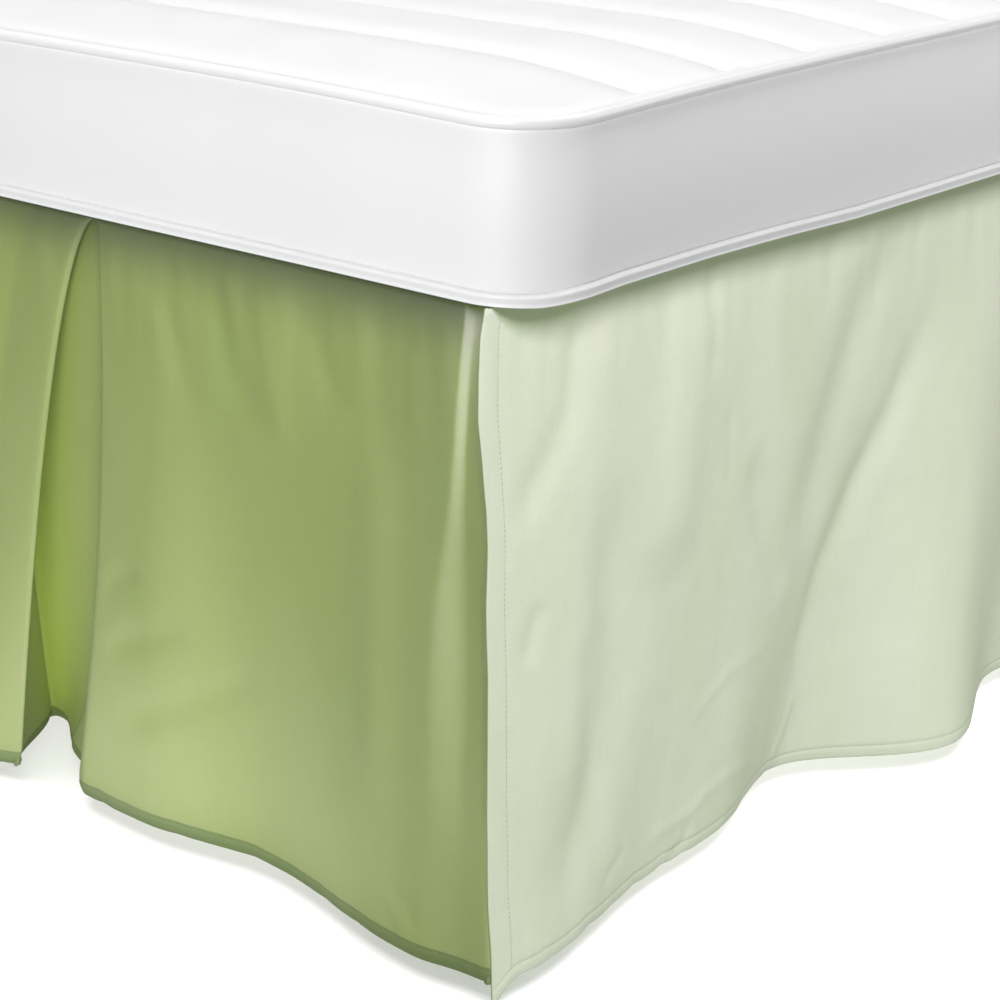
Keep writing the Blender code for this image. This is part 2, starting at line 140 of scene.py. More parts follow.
@dataclass(frozen=True)
class BoxPleat:
    """A box pleat, closed at the seam and parted at the hem."""

    middle: float
    near_hem: float
    near_slide: float
    far_hem: float
    far_slide: float
    curl: float
    hem_out: float
    back_hem: float
    back: float
    fold: float = 0.050
    pitch: float = 0.0040
    tip: float = 0.0025
    parting: float = 0.0032

    def sections(self) -> tuple[Section, ...]:
        """The twelve sections of the pleat, from its near panel to its far one."""
        near = self.middle - self.parting / 2
        far = self.middle + self.parting / 2
        near_end, far_end = near - self.fold, far + self.fold
        near_hem, far_hem, back_hem = self.near_hem, self.far_hem, self.back_hem
        half, second, third, tip = self.pitch / 2, -self.pitch, -2 * self.pitch, self.tip
        curled = self.hem_out - self.curl
        turn_along = (near_hem + back_hem) / 2
        turn_out = curled - (self.back - self.curl) / 2
        back_out = self.hem_out - self.back
        rows = (
            ("near fold front", near - tip, 0.0, near_hem - tip - self.curl, self.hem_out),
            ("near fold edge", near, -half, near_hem, curled + half),
            ("near fold back", near - tip, second, near_hem + tip, curled - half),
            ("near return front", near_end + tip, second, turn_along - tip, turn_out + half),
            ("near return edge", near_end, second - half, turn_along, turn_out),
            ("near return back", near_end + tip, third, turn_along + tip, turn_out - half),
            ("far return back", far_end - tip, third, back_hem - tip, back_out),
            ("far return edge", far_end, third + half, back_hem, back_out + half),
            ("far return front", far_end - tip, second, back_hem - tip, back_out + 2 * half),
            ("far fold back", far + tip, second, far_hem + tip, self.hem_out - 2 * half),
            ("far fold edge", far, -half, far_hem, self.hem_out - half),
            ("far fold front", far + tip, 0.0, far_hem + tip, self.hem_out),
        )
        return tuple(Section(*row, self.near_slide if row[0].startswith("near") else self.far_slide)
                     for row in rows)


@dataclass(frozen=True)
class Crease:
    """A soft trough or ridge laid along a path of (along, rise) points."""

    path: tuple[Pair, ...]
    width: float
    depth: float
    fading: float = 0.25

    def height_at(self, along: np.ndarray, rise: np.ndarray) -> np.ndarray:
        """How far the crease moves the cloth out, at each point of it."""
        points = np.array(self.path)
        nearest = np.full(along.shape, np.inf)
        share = np.zeros(along.shape)
        lengths = np.hypot(*np.diff(points, axis=0).T)
        starts = np.concatenate([[0.0], np.cumsum(lengths)])
        for start, end, length, begun in zip(points, points[1:], lengths, starts):
            run = (end - start) / length
            reach = (along - start[0]) * run[0] + (rise - start[1]) * run[1]
            held = np.clip(reach, 0.0, length)
            gap = np.hypot(along - start[0] - run[0] * held, rise - start[1] - run[1] * held)
            closer = gap < nearest
            nearest = np.where(closer, gap, nearest)
            share = np.where(closer, (begun + held) / starts[-1], share)
        fade = smoothstep(share / self.fading) * smoothstep((1.0 - share) / self.fading)
        return self.depth * fade * np.exp(-(nearest / self.width) ** 2)


class Side(Enum):
    """Which face of the bed a drop hangs from."""

    FOOT = "foot"
    RIGHT = "right"
    LEFT = "left"

    def to_world(self, along: np.ndarray, out: np.ndarray, height: np.ndarray) -> np.ndarray:
        """Turn places on the drop into points in the shared frame.

        Args:
            along: Distances from the mattress corner.
            out: Distances outwards from the drop's plane.
            height: Heights above the floor.

        Returns:
            Points with their three coordinates on the last axis.
        """
        foot_plane = 0.00425
        side_plane = 0.03575
        if self is Side.FOOT:
            return np.stack([HALF_WIDTH - along, FOOT_FACE_Y + foot_plane - out, height], axis=-1)
        side = 1.0 if self is Side.RIGHT else -1.0
        return np.stack([side * (HALF_WIDTH - side_plane + out), FOOT_FACE_Y + along, height], axis=-1)

    @property
    def outward_sign(self) -> float:
        """Sign that turns the grid's own normals outwards."""
        return -1.0 if self is Side.RIGHT else 1.0


def border(index: np.ndarray) -> np.ndarray:
    """The outer ring of a grid of indices, in order round it."""
    return np.concatenate([index[0, :-1], index[:-1, -1], index[-1, :0:-1], index[:0:-1, 0]])


def grid_faces(rows: int, columns: int, offset: int, flip: bool) -> np.ndarray:
    """Quads of a grid whose points are stored row by row."""
    index = np.arange(rows * columns).reshape(rows, columns) + offset
    quads = np.stack([index[:-1, :-1], index[1:, :-1], index[1:, 1:], index[:-1, 1:]], axis=-1)
    quads = quads.reshape(-1, 4)
    return quads[:, ::-1] if flip else quads


def rim_faces(rows: int, columns: int, flip: bool) -> np.ndarray:
    """Quads that join the edges of two grids of the same size, one stored after the other."""
    ring = border(np.arange(rows * columns).reshape(rows, columns))
    following = np.roll(ring, -1)
    other = rows * columns
    quads = np.stack([ring, following, following + other, ring + other], axis=-1)
    return quads[:, ::-1] if flip else quads


def link_object(name: str, data: Any) -> bpy.types.Object:
    """Put a mesh, a light or a camera into the scene at the origin."""
    item = bpy.data.objects.new(name, data)
    bpy.context.scene.collection.objects.link(item)
    return item


def dress(item: bpy.types.Object, material: bpy.types.Material) -> None:
    """Give a piece one finish."""
    item.data.materials.clear()
    item.data.materials.append(material)


def smooth_piece(name: str, points: np.ndarray, faces: list[list[int]]) -> bpy.types.Object:
    """Make a smooth mesh from points and faces and put it into the scene."""
    mesh = bpy.data.meshes.new(name)
    mesh.from_pydata(points.tolist(), [], faces)
    mesh.shade_smooth()
    return link_object(name, mesh)


def closed_sheet(name: str, face: np.ndarray, back: np.ndarray, cut: np.ndarray,
                 outward_sign: float, doubled: Optional[np.ndarray] = None) -> bpy.types.Object:
    """Make one closed thin mesh from the two sides of a sheet.

    Args:
        name: Name of the piece.
        face: Grid of points on the right side of the cloth.
        back: Grid of points on the wrong side.
        cut: Place of each point on the flat cloth, in metres.
        outward_sign: Sign that turns the grid's own normals outwards.
        doubled: Weight of the turned hems, up to 1, and 0 elsewhere, or None where there is no hem; the
            finish darkens the cloth by it in painted shade.

    Returns:
        The new object, linked to the scene.
    """
    rows, columns = face.shape[:2]
    count = rows * columns
    flip = outward_sign > 0
    faces = np.concatenate([
        grid_faces(rows, columns, 0, not flip),
        grid_faces(rows, columns, count, flip),
        rim_faces(rows, columns, not flip),
    ])
    points = np.concatenate([face.reshape(-1, 3), back.reshape(-1, 3)])
    sheet = smooth_piece(name, points, faces.tolist())
    mesh = sheet.data
    layer = mesh.uv_layers.new(name="cut")
    corners = np.empty(len(mesh.loops), dtype=np.int32)
    mesh.loops.foreach_get("vertex_index", corners)
    places = np.concatenate([cut.reshape(-1, 2)] * 2)[corners]
    layer.data.foreach_set("uv", places.astype(np.float32).ravel())
    if doubled is not None:
        mask = mesh.attributes.new("doubled", "FLOAT", "POINT")
        mask.data.foreach_set("value", np.concatenate([doubled.ravel()] * 2).astype(np.float32))
    return sheet


class Graph:
    """Short ways to add and link nodes in one node tree."""

    def __init__(self, tree: bpy.types.NodeTree) -> None:
        """Keep the tree that is being filled."""
        self.tree = tree

    def node(self, kind: str, settings: Optional[dict[str, Any]] = None, **inputs: Any
             ) -> bpy.types.Node:
        """Add a node.

        Args:
            kind: Blender's type name of the node.
            settings: Properties of the node itself.
            **inputs: Values or sockets for its inputs, with _ for a space in the name.

        Returns:
            The new node.
        """
        made = self.tree.nodes.new(kind)
        for key, value in (settings or {}).items():
            setattr(made, key, value)
        for key, value in inputs.items():
            self.feed(made.inputs[key.replace("_", " ")], value)
        return made

    def feed(self, socket: bpy.types.NodeSocket, value: Any) -> None:
        """Link a socket to an input, or set the input's own value."""
        if isinstance(value, bpy.types.NodeSocket):
            self.tree.links.new(value, socket)
        else:
            socket.default_value = value

    def math(self, operation: str, first: Any, second: Any = 0.0) -> bpy.types.NodeSocket:
        """Add a Math node and give its result."""
        made = self.node("ShaderNodeMath", {"operation": operation})
        self.feed(made.inputs[0], first)
        self.feed(made.inputs[1], second)
        return made.outputs[0]

    def ranged(self, value: Any, low: float, high: float, to_low: float, to_high: float
               ) -> bpy.types.NodeSocket:
        """Map a value from one range to another, held at the ends."""
        made = self.node("ShaderNodeMapRange", Value=value, From_Min=low, From_Max=high,
                         To_Min=to_low, To_Max=to_high)
        return made.outputs["Result"]

    def blend(self, share: Any, first: Any, second: Any, way: str = "MIX") -> bpy.types.NodeSocket:
        """Mix two colours and give the result."""
        made = self.node("ShaderNodeMix", {"data_type": "RGBA", "blend_type": way})
        self.feed(made.inputs["Factor"], share)
        self.feed(made.inputs[6], first)
        self.feed(made.inputs[7], second)
        return made.outputs[2]

    def stretched_noise(self, place: Any, scale: Triple, detail: float) -> bpy.types.NodeSocket:
        """Noise with its own scale along each axis, from 0 to 1."""
        turned = self.node("ShaderNodeMapping", Vector=place, Scale=scale)
        made = self.node("ShaderNodeTexNoise", Vector=turned.outputs[0], Scale=1.0, Detail=detail)
        return made.outputs["Fac"]

    def surface(self, colour: Any, bump: tuple[Any, float, float], patch: Any, rough: Pair
                ) -> bpy.types.Node:
        """Add a Principled surface with fine relief.

        Args:
            colour: Its colour.
            bump: Relief, its strength and its height in metres.
            patch: What its roughness varies with, from 0 to 1.
            rough: Roughness where the patch is 0 and where it is 1.

        Returns:
            The Principled node.
        """
        relief, strength, height = bump
        raised = self.node("ShaderNodeBump", Strength=strength, Distance=height, Height=relief)
        return self.node("ShaderNodeBsdfPrincipled", Base_Color=colour, Normal=raised.outputs[0],
                         Roughness=self.ranged(patch, 0.0, 1.0, *rough))


def new_group(name: str, takes: Sequence[tuple[str, str, Any]], gives: Sequence[tuple[str, str]]
              ) -> tuple[bpy.types.NodeTree, Graph, Any, Any]:
    """Start a shader node group.

    Args:
        name: Name of the group.
        takes: Name, socket type and default of each input.
        gives: Name and socket type of each output.

    Returns:
        The tree, its graph, and the nodes that bring values in and take them out.
    """
    tree = bpy.data.node_groups.new(name, "ShaderNodeTree")
    for label, kind, default in takes:
        socket = tree.interface.new_socket(name=label, in_out="INPUT", socket_type=kind)
        if default is not None:
            socket.default_value = default
    for label, kind in gives:
        tree.interface.new_socket(name=label, in_out="OUTPUT", socket_type=kind)
    graph = Graph(tree)
    return tree, graph, graph.node("NodeGroupInput"), graph.node("NodeGroupOutput")


def weave_group() -> bpy.types.NodeTree:
    """Plain weave with slubs: thread relief, and streaks of thicker and thinner threads."""
    tree, graph, takes, gives = new_group(
        "plain weave",
        (("Place", "NodeSocketVector", None), ("Threads", "NodeSocketFloat", 1800.0),
         ("Slub", "NodeSocketFloat", 0.5)),
        (("Relief", "NodeSocketFloat"), ("Streak", "NodeSocketFloat")),
    )
    apart = graph.node("ShaderNodeSeparateXYZ", Vector=takes.outputs["Place"])
    turn = graph.math("MULTIPLY", takes.outputs["Threads"], math.pi)
    warp = graph.math("SINE", graph.math("MULTIPLY", apart.outputs[0], turn))
    weft = graph.math("SINE", graph.math("MULTIPLY", apart.outputs[1], turn))
    over = graph.math("MULTIPLY", warp, weft)
    down = graph.stretched_noise(takes.outputs["Place"], (1500.0, 28.0, 1.0), 2.0)
    across = graph.stretched_noise(takes.outputs["Place"], (22.0, 1300.0, 1.0), 2.0)
    streak = graph.math("ADD", graph.math("MULTIPLY", down, 0.5), graph.math("MULTIPLY", across, 0.5))
    slubs = graph.math("MULTIPLY", graph.math("SUBTRACT", streak, 0.5), takes.outputs["Slub"])
    relief = graph.math("ADD", graph.math("MULTIPLY", over, 0.25), graph.math("MULTIPLY", slubs, 2.0))
    graph.feed(gives.inputs["Relief"], relief)
    graph.feed(gives.inputs["Streak"], streak)
    return tree


def mottle_group() -> bpy.types.NodeTree:
    """Large soft patches that run down the piece, from 0 to 1."""
    tree, graph, takes, gives = new_group(
        "soft mottle",
        (("Place", "NodeSocketVector", None), ("Across", "NodeSocketFloat", 16.0),
         ("Down", "NodeSocketFloat", 5.0)),
        (("Patch", "NodeSocketFloat"), ("Small Patch", "NodeSocketFloat")),
    )
    scale = graph.node("ShaderNodeCombineXYZ", X=takes.outputs["Across"], Y=takes.outputs["Down"], Z=1.0)
    scaled = graph.node("ShaderNodeVectorMath", {"operation": "MULTIPLY"})
    graph.feed(scaled.inputs[0], takes.outputs["Place"])
    graph.feed(scaled.inputs[1], scale.outputs[0])
    large = graph.node("ShaderNodeTexNoise", Vector=scaled.outputs[0], Scale=1.0, Detail=1.5)
    small = graph.node("ShaderNodeTexNoise", Vector=scaled.outputs[0], Scale=4.5, Detail=2.0)
    graph.feed(gives.inputs["Patch"], graph.ranged(large.outputs["Fac"], 0.32, 0.68, 0.0, 1.0))
    graph.feed(gives.inputs["Small Patch"], graph.ranged(small.outputs["Fac"], 0.3, 0.7, 0.0, 1.0))
    return tree


def grain_group() -> bpy.types.NodeTree:
    """Straight wood grain along Y: bands of growth rings and fine pores."""
    tree, graph, takes, gives = new_group(
        "wood grain",
        (("Place", "NodeSocketVector", None), ("Rings", "NodeSocketFloat", 90.0)),
        (("Ring", "NodeSocketFloat"), ("Pore", "NodeSocketFloat")),
    )
    bend = graph.stretched_noise(takes.outputs["Place"], (7.0, 1.1, 7.0), 2.0)
    apart = graph.node("ShaderNodeSeparateXYZ", Vector=takes.outputs["Place"])
    reach = graph.math("ADD", apart.outputs[0], graph.math("MULTIPLY", apart.outputs[2], 0.6))
    turned = graph.math("ADD", graph.math("MULTIPLY", reach, takes.outputs["Rings"]),
                        graph.math("MULTIPLY", bend, 9.0))
    ring = graph.math("FRACT", turned)
    graph.feed(gives.inputs["Ring"], graph.math("POWER", ring, 2.0))
    pores = graph.stretched_noise(takes.outputs["Place"], (900.0, 14.0, 900.0), 2.0)
    graph.feed(gives.inputs["Pore"], graph.ranged(pores, 0.45, 0.7, 0.0, 1.0))
    return tree


@dataclass(frozen=True)
class SharedGroups:
    """Shader node groups that several finishes use."""

    weave: bpy.types.NodeTree
    mottle: bpy.types.NodeTree
    grain: bpy.types.NodeTree

    @staticmethod
    def build() -> "SharedGroups":
        """Make the groups once."""
        return SharedGroups(weave_group(), mottle_group(), grain_group())


def start_material(name: str) -> tuple[bpy.types.Material, Graph, bpy.types.Node]:
    """Make an empty material and give it, its graph and its output node."""
    material = bpy.data.materials.new(name)
    material.use_nodes = True
    material.node_tree.nodes.clear()
    graph = Graph(material.node_tree)
    return material, graph, graph.node("ShaderNodeOutputMaterial")


@dataclass(frozen=True)
class SkirtCloth:
    """Thin plain-woven cotton, dyed green: it lets light through and has a pale bloom. Its turned hems
    are darkened with painted shade.
    """

    pale: Colour = (0.58, 0.62, 0.455, 1.0)
    deep: Colour = (0.535, 0.595, 0.415, 1.0)
    through: Colour = (0.48, 0.68, 0.10, 1.0)
    # Painted shade: the colour that the turned hems are multiplied by, standing in for the light that
    # the doubled cloth keeps back.
    hem_painted_shade: Colour = (0.64, 0.73, 0.70, 1.0)
    doubled_through: float = 0.60
    through_share: float = 0.40
    roughness: float = 0.50
    roughness_spread: float = 0.05
    relief: float = 0.35
    thread_height: float = 0.0004
    sheen: float = 0.25

    def material(self, groups: SharedGroups) -> bpy.types.Material:
        """Make the cloth's finish."""
        material, graph, output = start_material("skirt_cotton")
        place = graph.node("ShaderNodeUVMap", {"uv_map": "cut"}).outputs[0]
        weave = graph.node("ShaderNodeGroup", {"node_tree": groups.weave}, Place=place)
        mottle = graph.node("ShaderNodeGroup", {"node_tree": groups.mottle}, Place=place)
        tone = graph.blend(mottle.outputs["Patch"], self.deep, self.pale)
        doubled = graph.node("ShaderNodeAttribute", {"attribute_name": "doubled"}).outputs["Fac"]
        streak = graph.ranged(weave.outputs["Streak"], 0.3, 0.7, 0.95, 1.04)
        shade = graph.node("ShaderNodeCombineColor", Red=streak, Green=streak, Blue=streak)
        colour = graph.blend(1.0, tone, shade.outputs[0], "MULTIPLY")
        # Painted shade: the doubled mask darkens the turned hems.
        colour = graph.blend(doubled, colour, graph.blend(1.0, colour, self.hem_painted_shade, "MULTIPLY"))
        low, high = self.roughness - self.roughness_spread, self.roughness + self.roughness_spread
        surface = graph.surface(colour, (weave.outputs["Relief"], self.relief, self.thread_height),
                                mottle.outputs["Small Patch"], (low, high))
        surface.inputs["Sheen Weight"].default_value = self.sheen
        surface.inputs["Sheen Roughness"].default_value = 0.45
        surface.inputs["Sheen Tint"].default_value = self.pale
        surface.inputs["Specular IOR Level"].default_value = 0.35
        held = tuple(self.doubled_through * part for part in self.through[:3]) + (1.0,)
        glow = graph.node("ShaderNodeBsdfTranslucent", Color=graph.blend(doubled, self.through, held))
        both = graph.node("ShaderNodeMixShader")
        both.inputs[0].default_value = self.through_share
        graph.feed(both.inputs[1], surface.outputs[0])
        graph.feed(both.inputs[2], glow.outputs[0])
        graph.feed(output.inputs["Surface"], both.outputs[0])
        return material


@dataclass(frozen=True)
class PlainCloth:
    """An opaque white cloth, such as the mattress ticking, its piping or sewing thread."""

    name: str
    colour: Colour
    roughness: float
    threads: float
    relief: float
    sheen: float = 0.1
    roughness_spread: float = 0.04
    thread_height: float = 0.0003

    def material(self, groups: SharedGroups) -> bpy.types.Material:
        """Make the finish."""
        material, graph, output = start_material(self.name)
        place = graph.node("ShaderNodeTexCoord").outputs["Object"]
        weave = graph.node("ShaderNodeGroup", {"node_tree": groups.weave}, Place=place,
                           Threads=self.threads, Slub=0.15)
        mottle = graph.node("ShaderNodeGroup", {"node_tree": groups.mottle}, Place=place,
                            Across=5.0, Down=5.0)
        darker = tuple(0.975 * part for part in self.colour[:3]) + (1.0,)
        colour = graph.blend(mottle.outputs["Patch"], darker, self.colour)
        low, high = self.roughness - self.roughness_spread, self.roughness + self.roughness_spread
        surface = graph.surface(colour, (weave.outputs["Relief"], self.relief, self.thread_height),
                                mottle.outputs["Small Patch"], (low, high))
        surface.inputs["Sheen Weight"].default_value = self.sheen
        graph.feed(output.inputs["Surface"], surface.outputs[0])
        return material


@dataclass(frozen=True)
class PlanedWood:
    """Pale planed softwood."""

    early: Colour = (0.66, 0.47, 0.29, 1.0)
    late: Colour = (0.50, 0.31, 0.16, 1.0)

    def material(self, groups: SharedGroups) -> bpy.types.Material:
        """Make the finish."""
        material, graph, output = start_material("base_pine")
        place = graph.node("ShaderNodeTexCoord").outputs["Object"]
        grain = graph.node("ShaderNodeGroup", {"node_tree": groups.grain}, Place=place)
        rings = graph.blend(grain.outputs["Ring"], self.early, self.late)
        pores = graph.math("MULTIPLY", grain.outputs["Pore"], 0.35)
        colour = graph.blend(pores, rings, self.late)
        surface = graph.surface(colour, (grain.outputs["Pore"], 0.2, 0.0005),
                                grain.outputs["Ring"], (0.62, 0.5))
        graph.feed(output.inputs["Surface"], surface.outputs[0])
        return material


@dataclass(frozen=True)
class Hem:
    """A turned and sewn edge: twice the cloth's thickness up to a line of stitches."""

    width: float
    stitch_at: float
    extra: float = 0.0009
    pinch: float = 0.00028
    belly: float = 0.00025
    roll: float = 0.0
    # Share of the painted shade that this hem's doubled cloth gets; it also scales the drop in light
    # passing through it.
    shade: float = 1.0
    pinch_reach: float = 0.0011
    step_at: float = 0.0009
    step_width: float = 0.0006
    edge_round: float = 0.0010
    edge_share: float = 0.35

    def guides(self) -> np.ndarray:
        """Distances from the edge where the mesh needs a line of points."""
        edge = np.array([0.0, 0.0003, 0.0009, 0.002, 0.0045])
        stitches = self.stitch_at + np.array([-0.0022, -0.0010, 0.0, 0.0008])
        step = self.width + np.array([0.0003, 0.0010, 0.0026])
        return np.concatenate([edge, stitches, step])

    def thicker(self, distance: np.ndarray) -> np.ndarray:
        """Extra thickness on the wrong side."""
        return self.extra * self.doubled(distance)

    def relief(self, distance: np.ndarray) -> np.ndarray:
        """Movement of the right side: drawn in by the stitches, full between them and the edge."""
        drawn = -self.pinch * np.exp(-((distance - self.stitch_at) / self.pinch_reach) ** 2)
        full = self.belly * np.sin(np.pi * np.clip(distance / self.stitch_at, 0.0, 1.0))
        return drawn + full

    def rolled(self, distance: np.ndarray) -> np.ndarray:
        """How far the hem turns in under the cloth."""
        return -self.roll * np.clip(1.0 - distance / self.width, 0.0, 1.0) ** 1.6

    def doubled(self, distance: np.ndarray) -> np.ndarray:
        """1 on the turned cloth and 0 past it."""
        return smoothstep((self.width + self.step_at - distance) / self.step_width)

    def rounded(self, distance: np.ndarray) -> np.ndarray:
        """Share of the thickness near the very edge, which is round."""
        reach = np.clip(distance / self.edge_round, 0.0, 1.0)
        return self.edge_share + (1.0 - self.edge_share) * np.sqrt(1.0 - (1.0 - reach) ** 2)


@dataclass
class Stitching:
    """Lines of running stitches, laid out by Geometry Nodes."""

    length: float = 0.0021
    pitch: float = 0.0030
    radius: float = 0.00016

    @staticmethod
    def tree() -> bpy.types.NodeTree:
        """Build the node tree that sets a thread bead at each step of a line."""
        tree = bpy.data.node_groups.new("running stitches", "GeometryNodeTree")
        face = tree.interface
        face.new_socket(name="Lines", in_out="INPUT", socket_type="NodeSocketGeometry")
        for label in ("Stitch Length", "Stitch Pitch", "Thread Radius"):
            face.new_socket(name=label, in_out="INPUT", socket_type="NodeSocketFloat")
        face.new_socket(name="Thread", in_out="INPUT", socket_type="NodeSocketMaterial")
        face.new_socket(name="Stitches", in_out="OUTPUT", socket_type="NodeSocketGeometry")
        graph = Graph(tree)
        takes = graph.node("NodeGroupInput")
        gives = graph.node("NodeGroupOutput")
        line = graph.node("GeometryNodeMeshToCurve", Mesh=takes.outputs["Lines"])
        steps = graph.node("GeometryNodeResampleCurve", {"mode": "LENGTH"}, Curve=line.outputs[0],
                           Length=takes.outputs["Stitch Pitch"])
        bead = graph.node("GeometryNodeMeshUVSphere", Segments=6, Rings=4, Radius=1.0)
        tangent = graph.node("GeometryNodeInputTangent")
        turn = graph.node("FunctionNodeAlignRotationToVector", {"axis": "Z"},
                          Vector=tangent.outputs[0])
        vary = graph.node("FunctionNodeRandomValue", {"data_type": "FLOAT"}, Seed=7)
        graph.feed(vary.inputs[2], 0.86)
        graph.feed(vary.inputs[3], 1.06)
        half = graph.math("MULTIPLY", takes.outputs["Stitch Length"], 0.5)
        long = graph.math("MULTIPLY", half, vary.outputs[1])
        size = graph.node("ShaderNodeCombineXYZ", X=takes.outputs["Thread Radius"],
                          Y=takes.outputs["Thread Radius"], Z=long)
        beads = graph.node("GeometryNodeInstanceOnPoints", Points=steps.outputs[0],
                           Instance=bead.outputs["Mesh"], Rotation=turn.outputs[0],
                           Scale=size.outputs[0])
        real = graph.node("GeometryNodeRealizeInstances", Geometry=beads.outputs[0])
        dressed = graph.node("GeometryNodeSetMaterial", Geometry=real.outputs[0],
                             Material=takes.outputs["Thread"])
        graph.feed(gives.inputs["Stitches"], dressed.outputs[0])
        return tree

    def sew(self, name: str, lines: Sequence[np.ndarray], tree: bpy.types.NodeTree,
            thread: bpy.types.Material) -> bpy.types.Object:
        """Sew stitches along some lines.

        Args:
            name: Name of the piece.
            lines: Points of each line, in order.
            tree: The tree that tree() gives.
            thread: Finish of the thread.

        Returns:
            One mesh object with every stitch.
        """
        points = np.concatenate(lines)
        edges = []
        first = 0
        for line in lines:
            edges += [(first + step, first + step + 1) for step in range(len(line) - 1)]
            first += len(line)
        path = bpy.data.meshes.new(name + "_path")
        path.from_pydata(points.tolist(), edges, [])
        carrier = link_object(name + "_path", path)
        modifier = carrier.modifiers.new("stitches", "NODES")
        modifier.node_group = tree
        values = {"Stitch Length": self.length, "Stitch Pitch": self.pitch,
                  "Thread Radius": self.radius, "Thread": thread}
        for socket in tree.interface.items_tree:
            if socket.name in values:
                modifier[socket.identifier] = values[socket.name]
        evaluated = carrier.evaluated_get(bpy.context.evaluated_depsgraph_get())
        mesh = bpy.data.meshes.new_from_object(evaluated)
        bpy.data.objects.remove(carrier, do_unlink=True)
        mesh.name = name
        mesh.shade_smooth()
        sewn = link_object(name, mesh)
        dress(sewn, thread)
        return sewn


# Wave lengths of the gathers, and how far at most they lean to one side.
GATHER_LENGTHS = (0.021, 0.034, 0.055, 0.089)
GATHER_LEAN = 0.12
# Depth, waves across and down for each metre, and shift of the two noises of the crumple.
CRUMPLE_WAVES = ((0.00055, 26.0, 13.0, 0.0), (0.00020, 75.0, 48.0, 9.0))
PUCKER_LENGTH = 0.011
PUCKER_REACH = 0.006
PUCKER_DEPTH = 0.00016


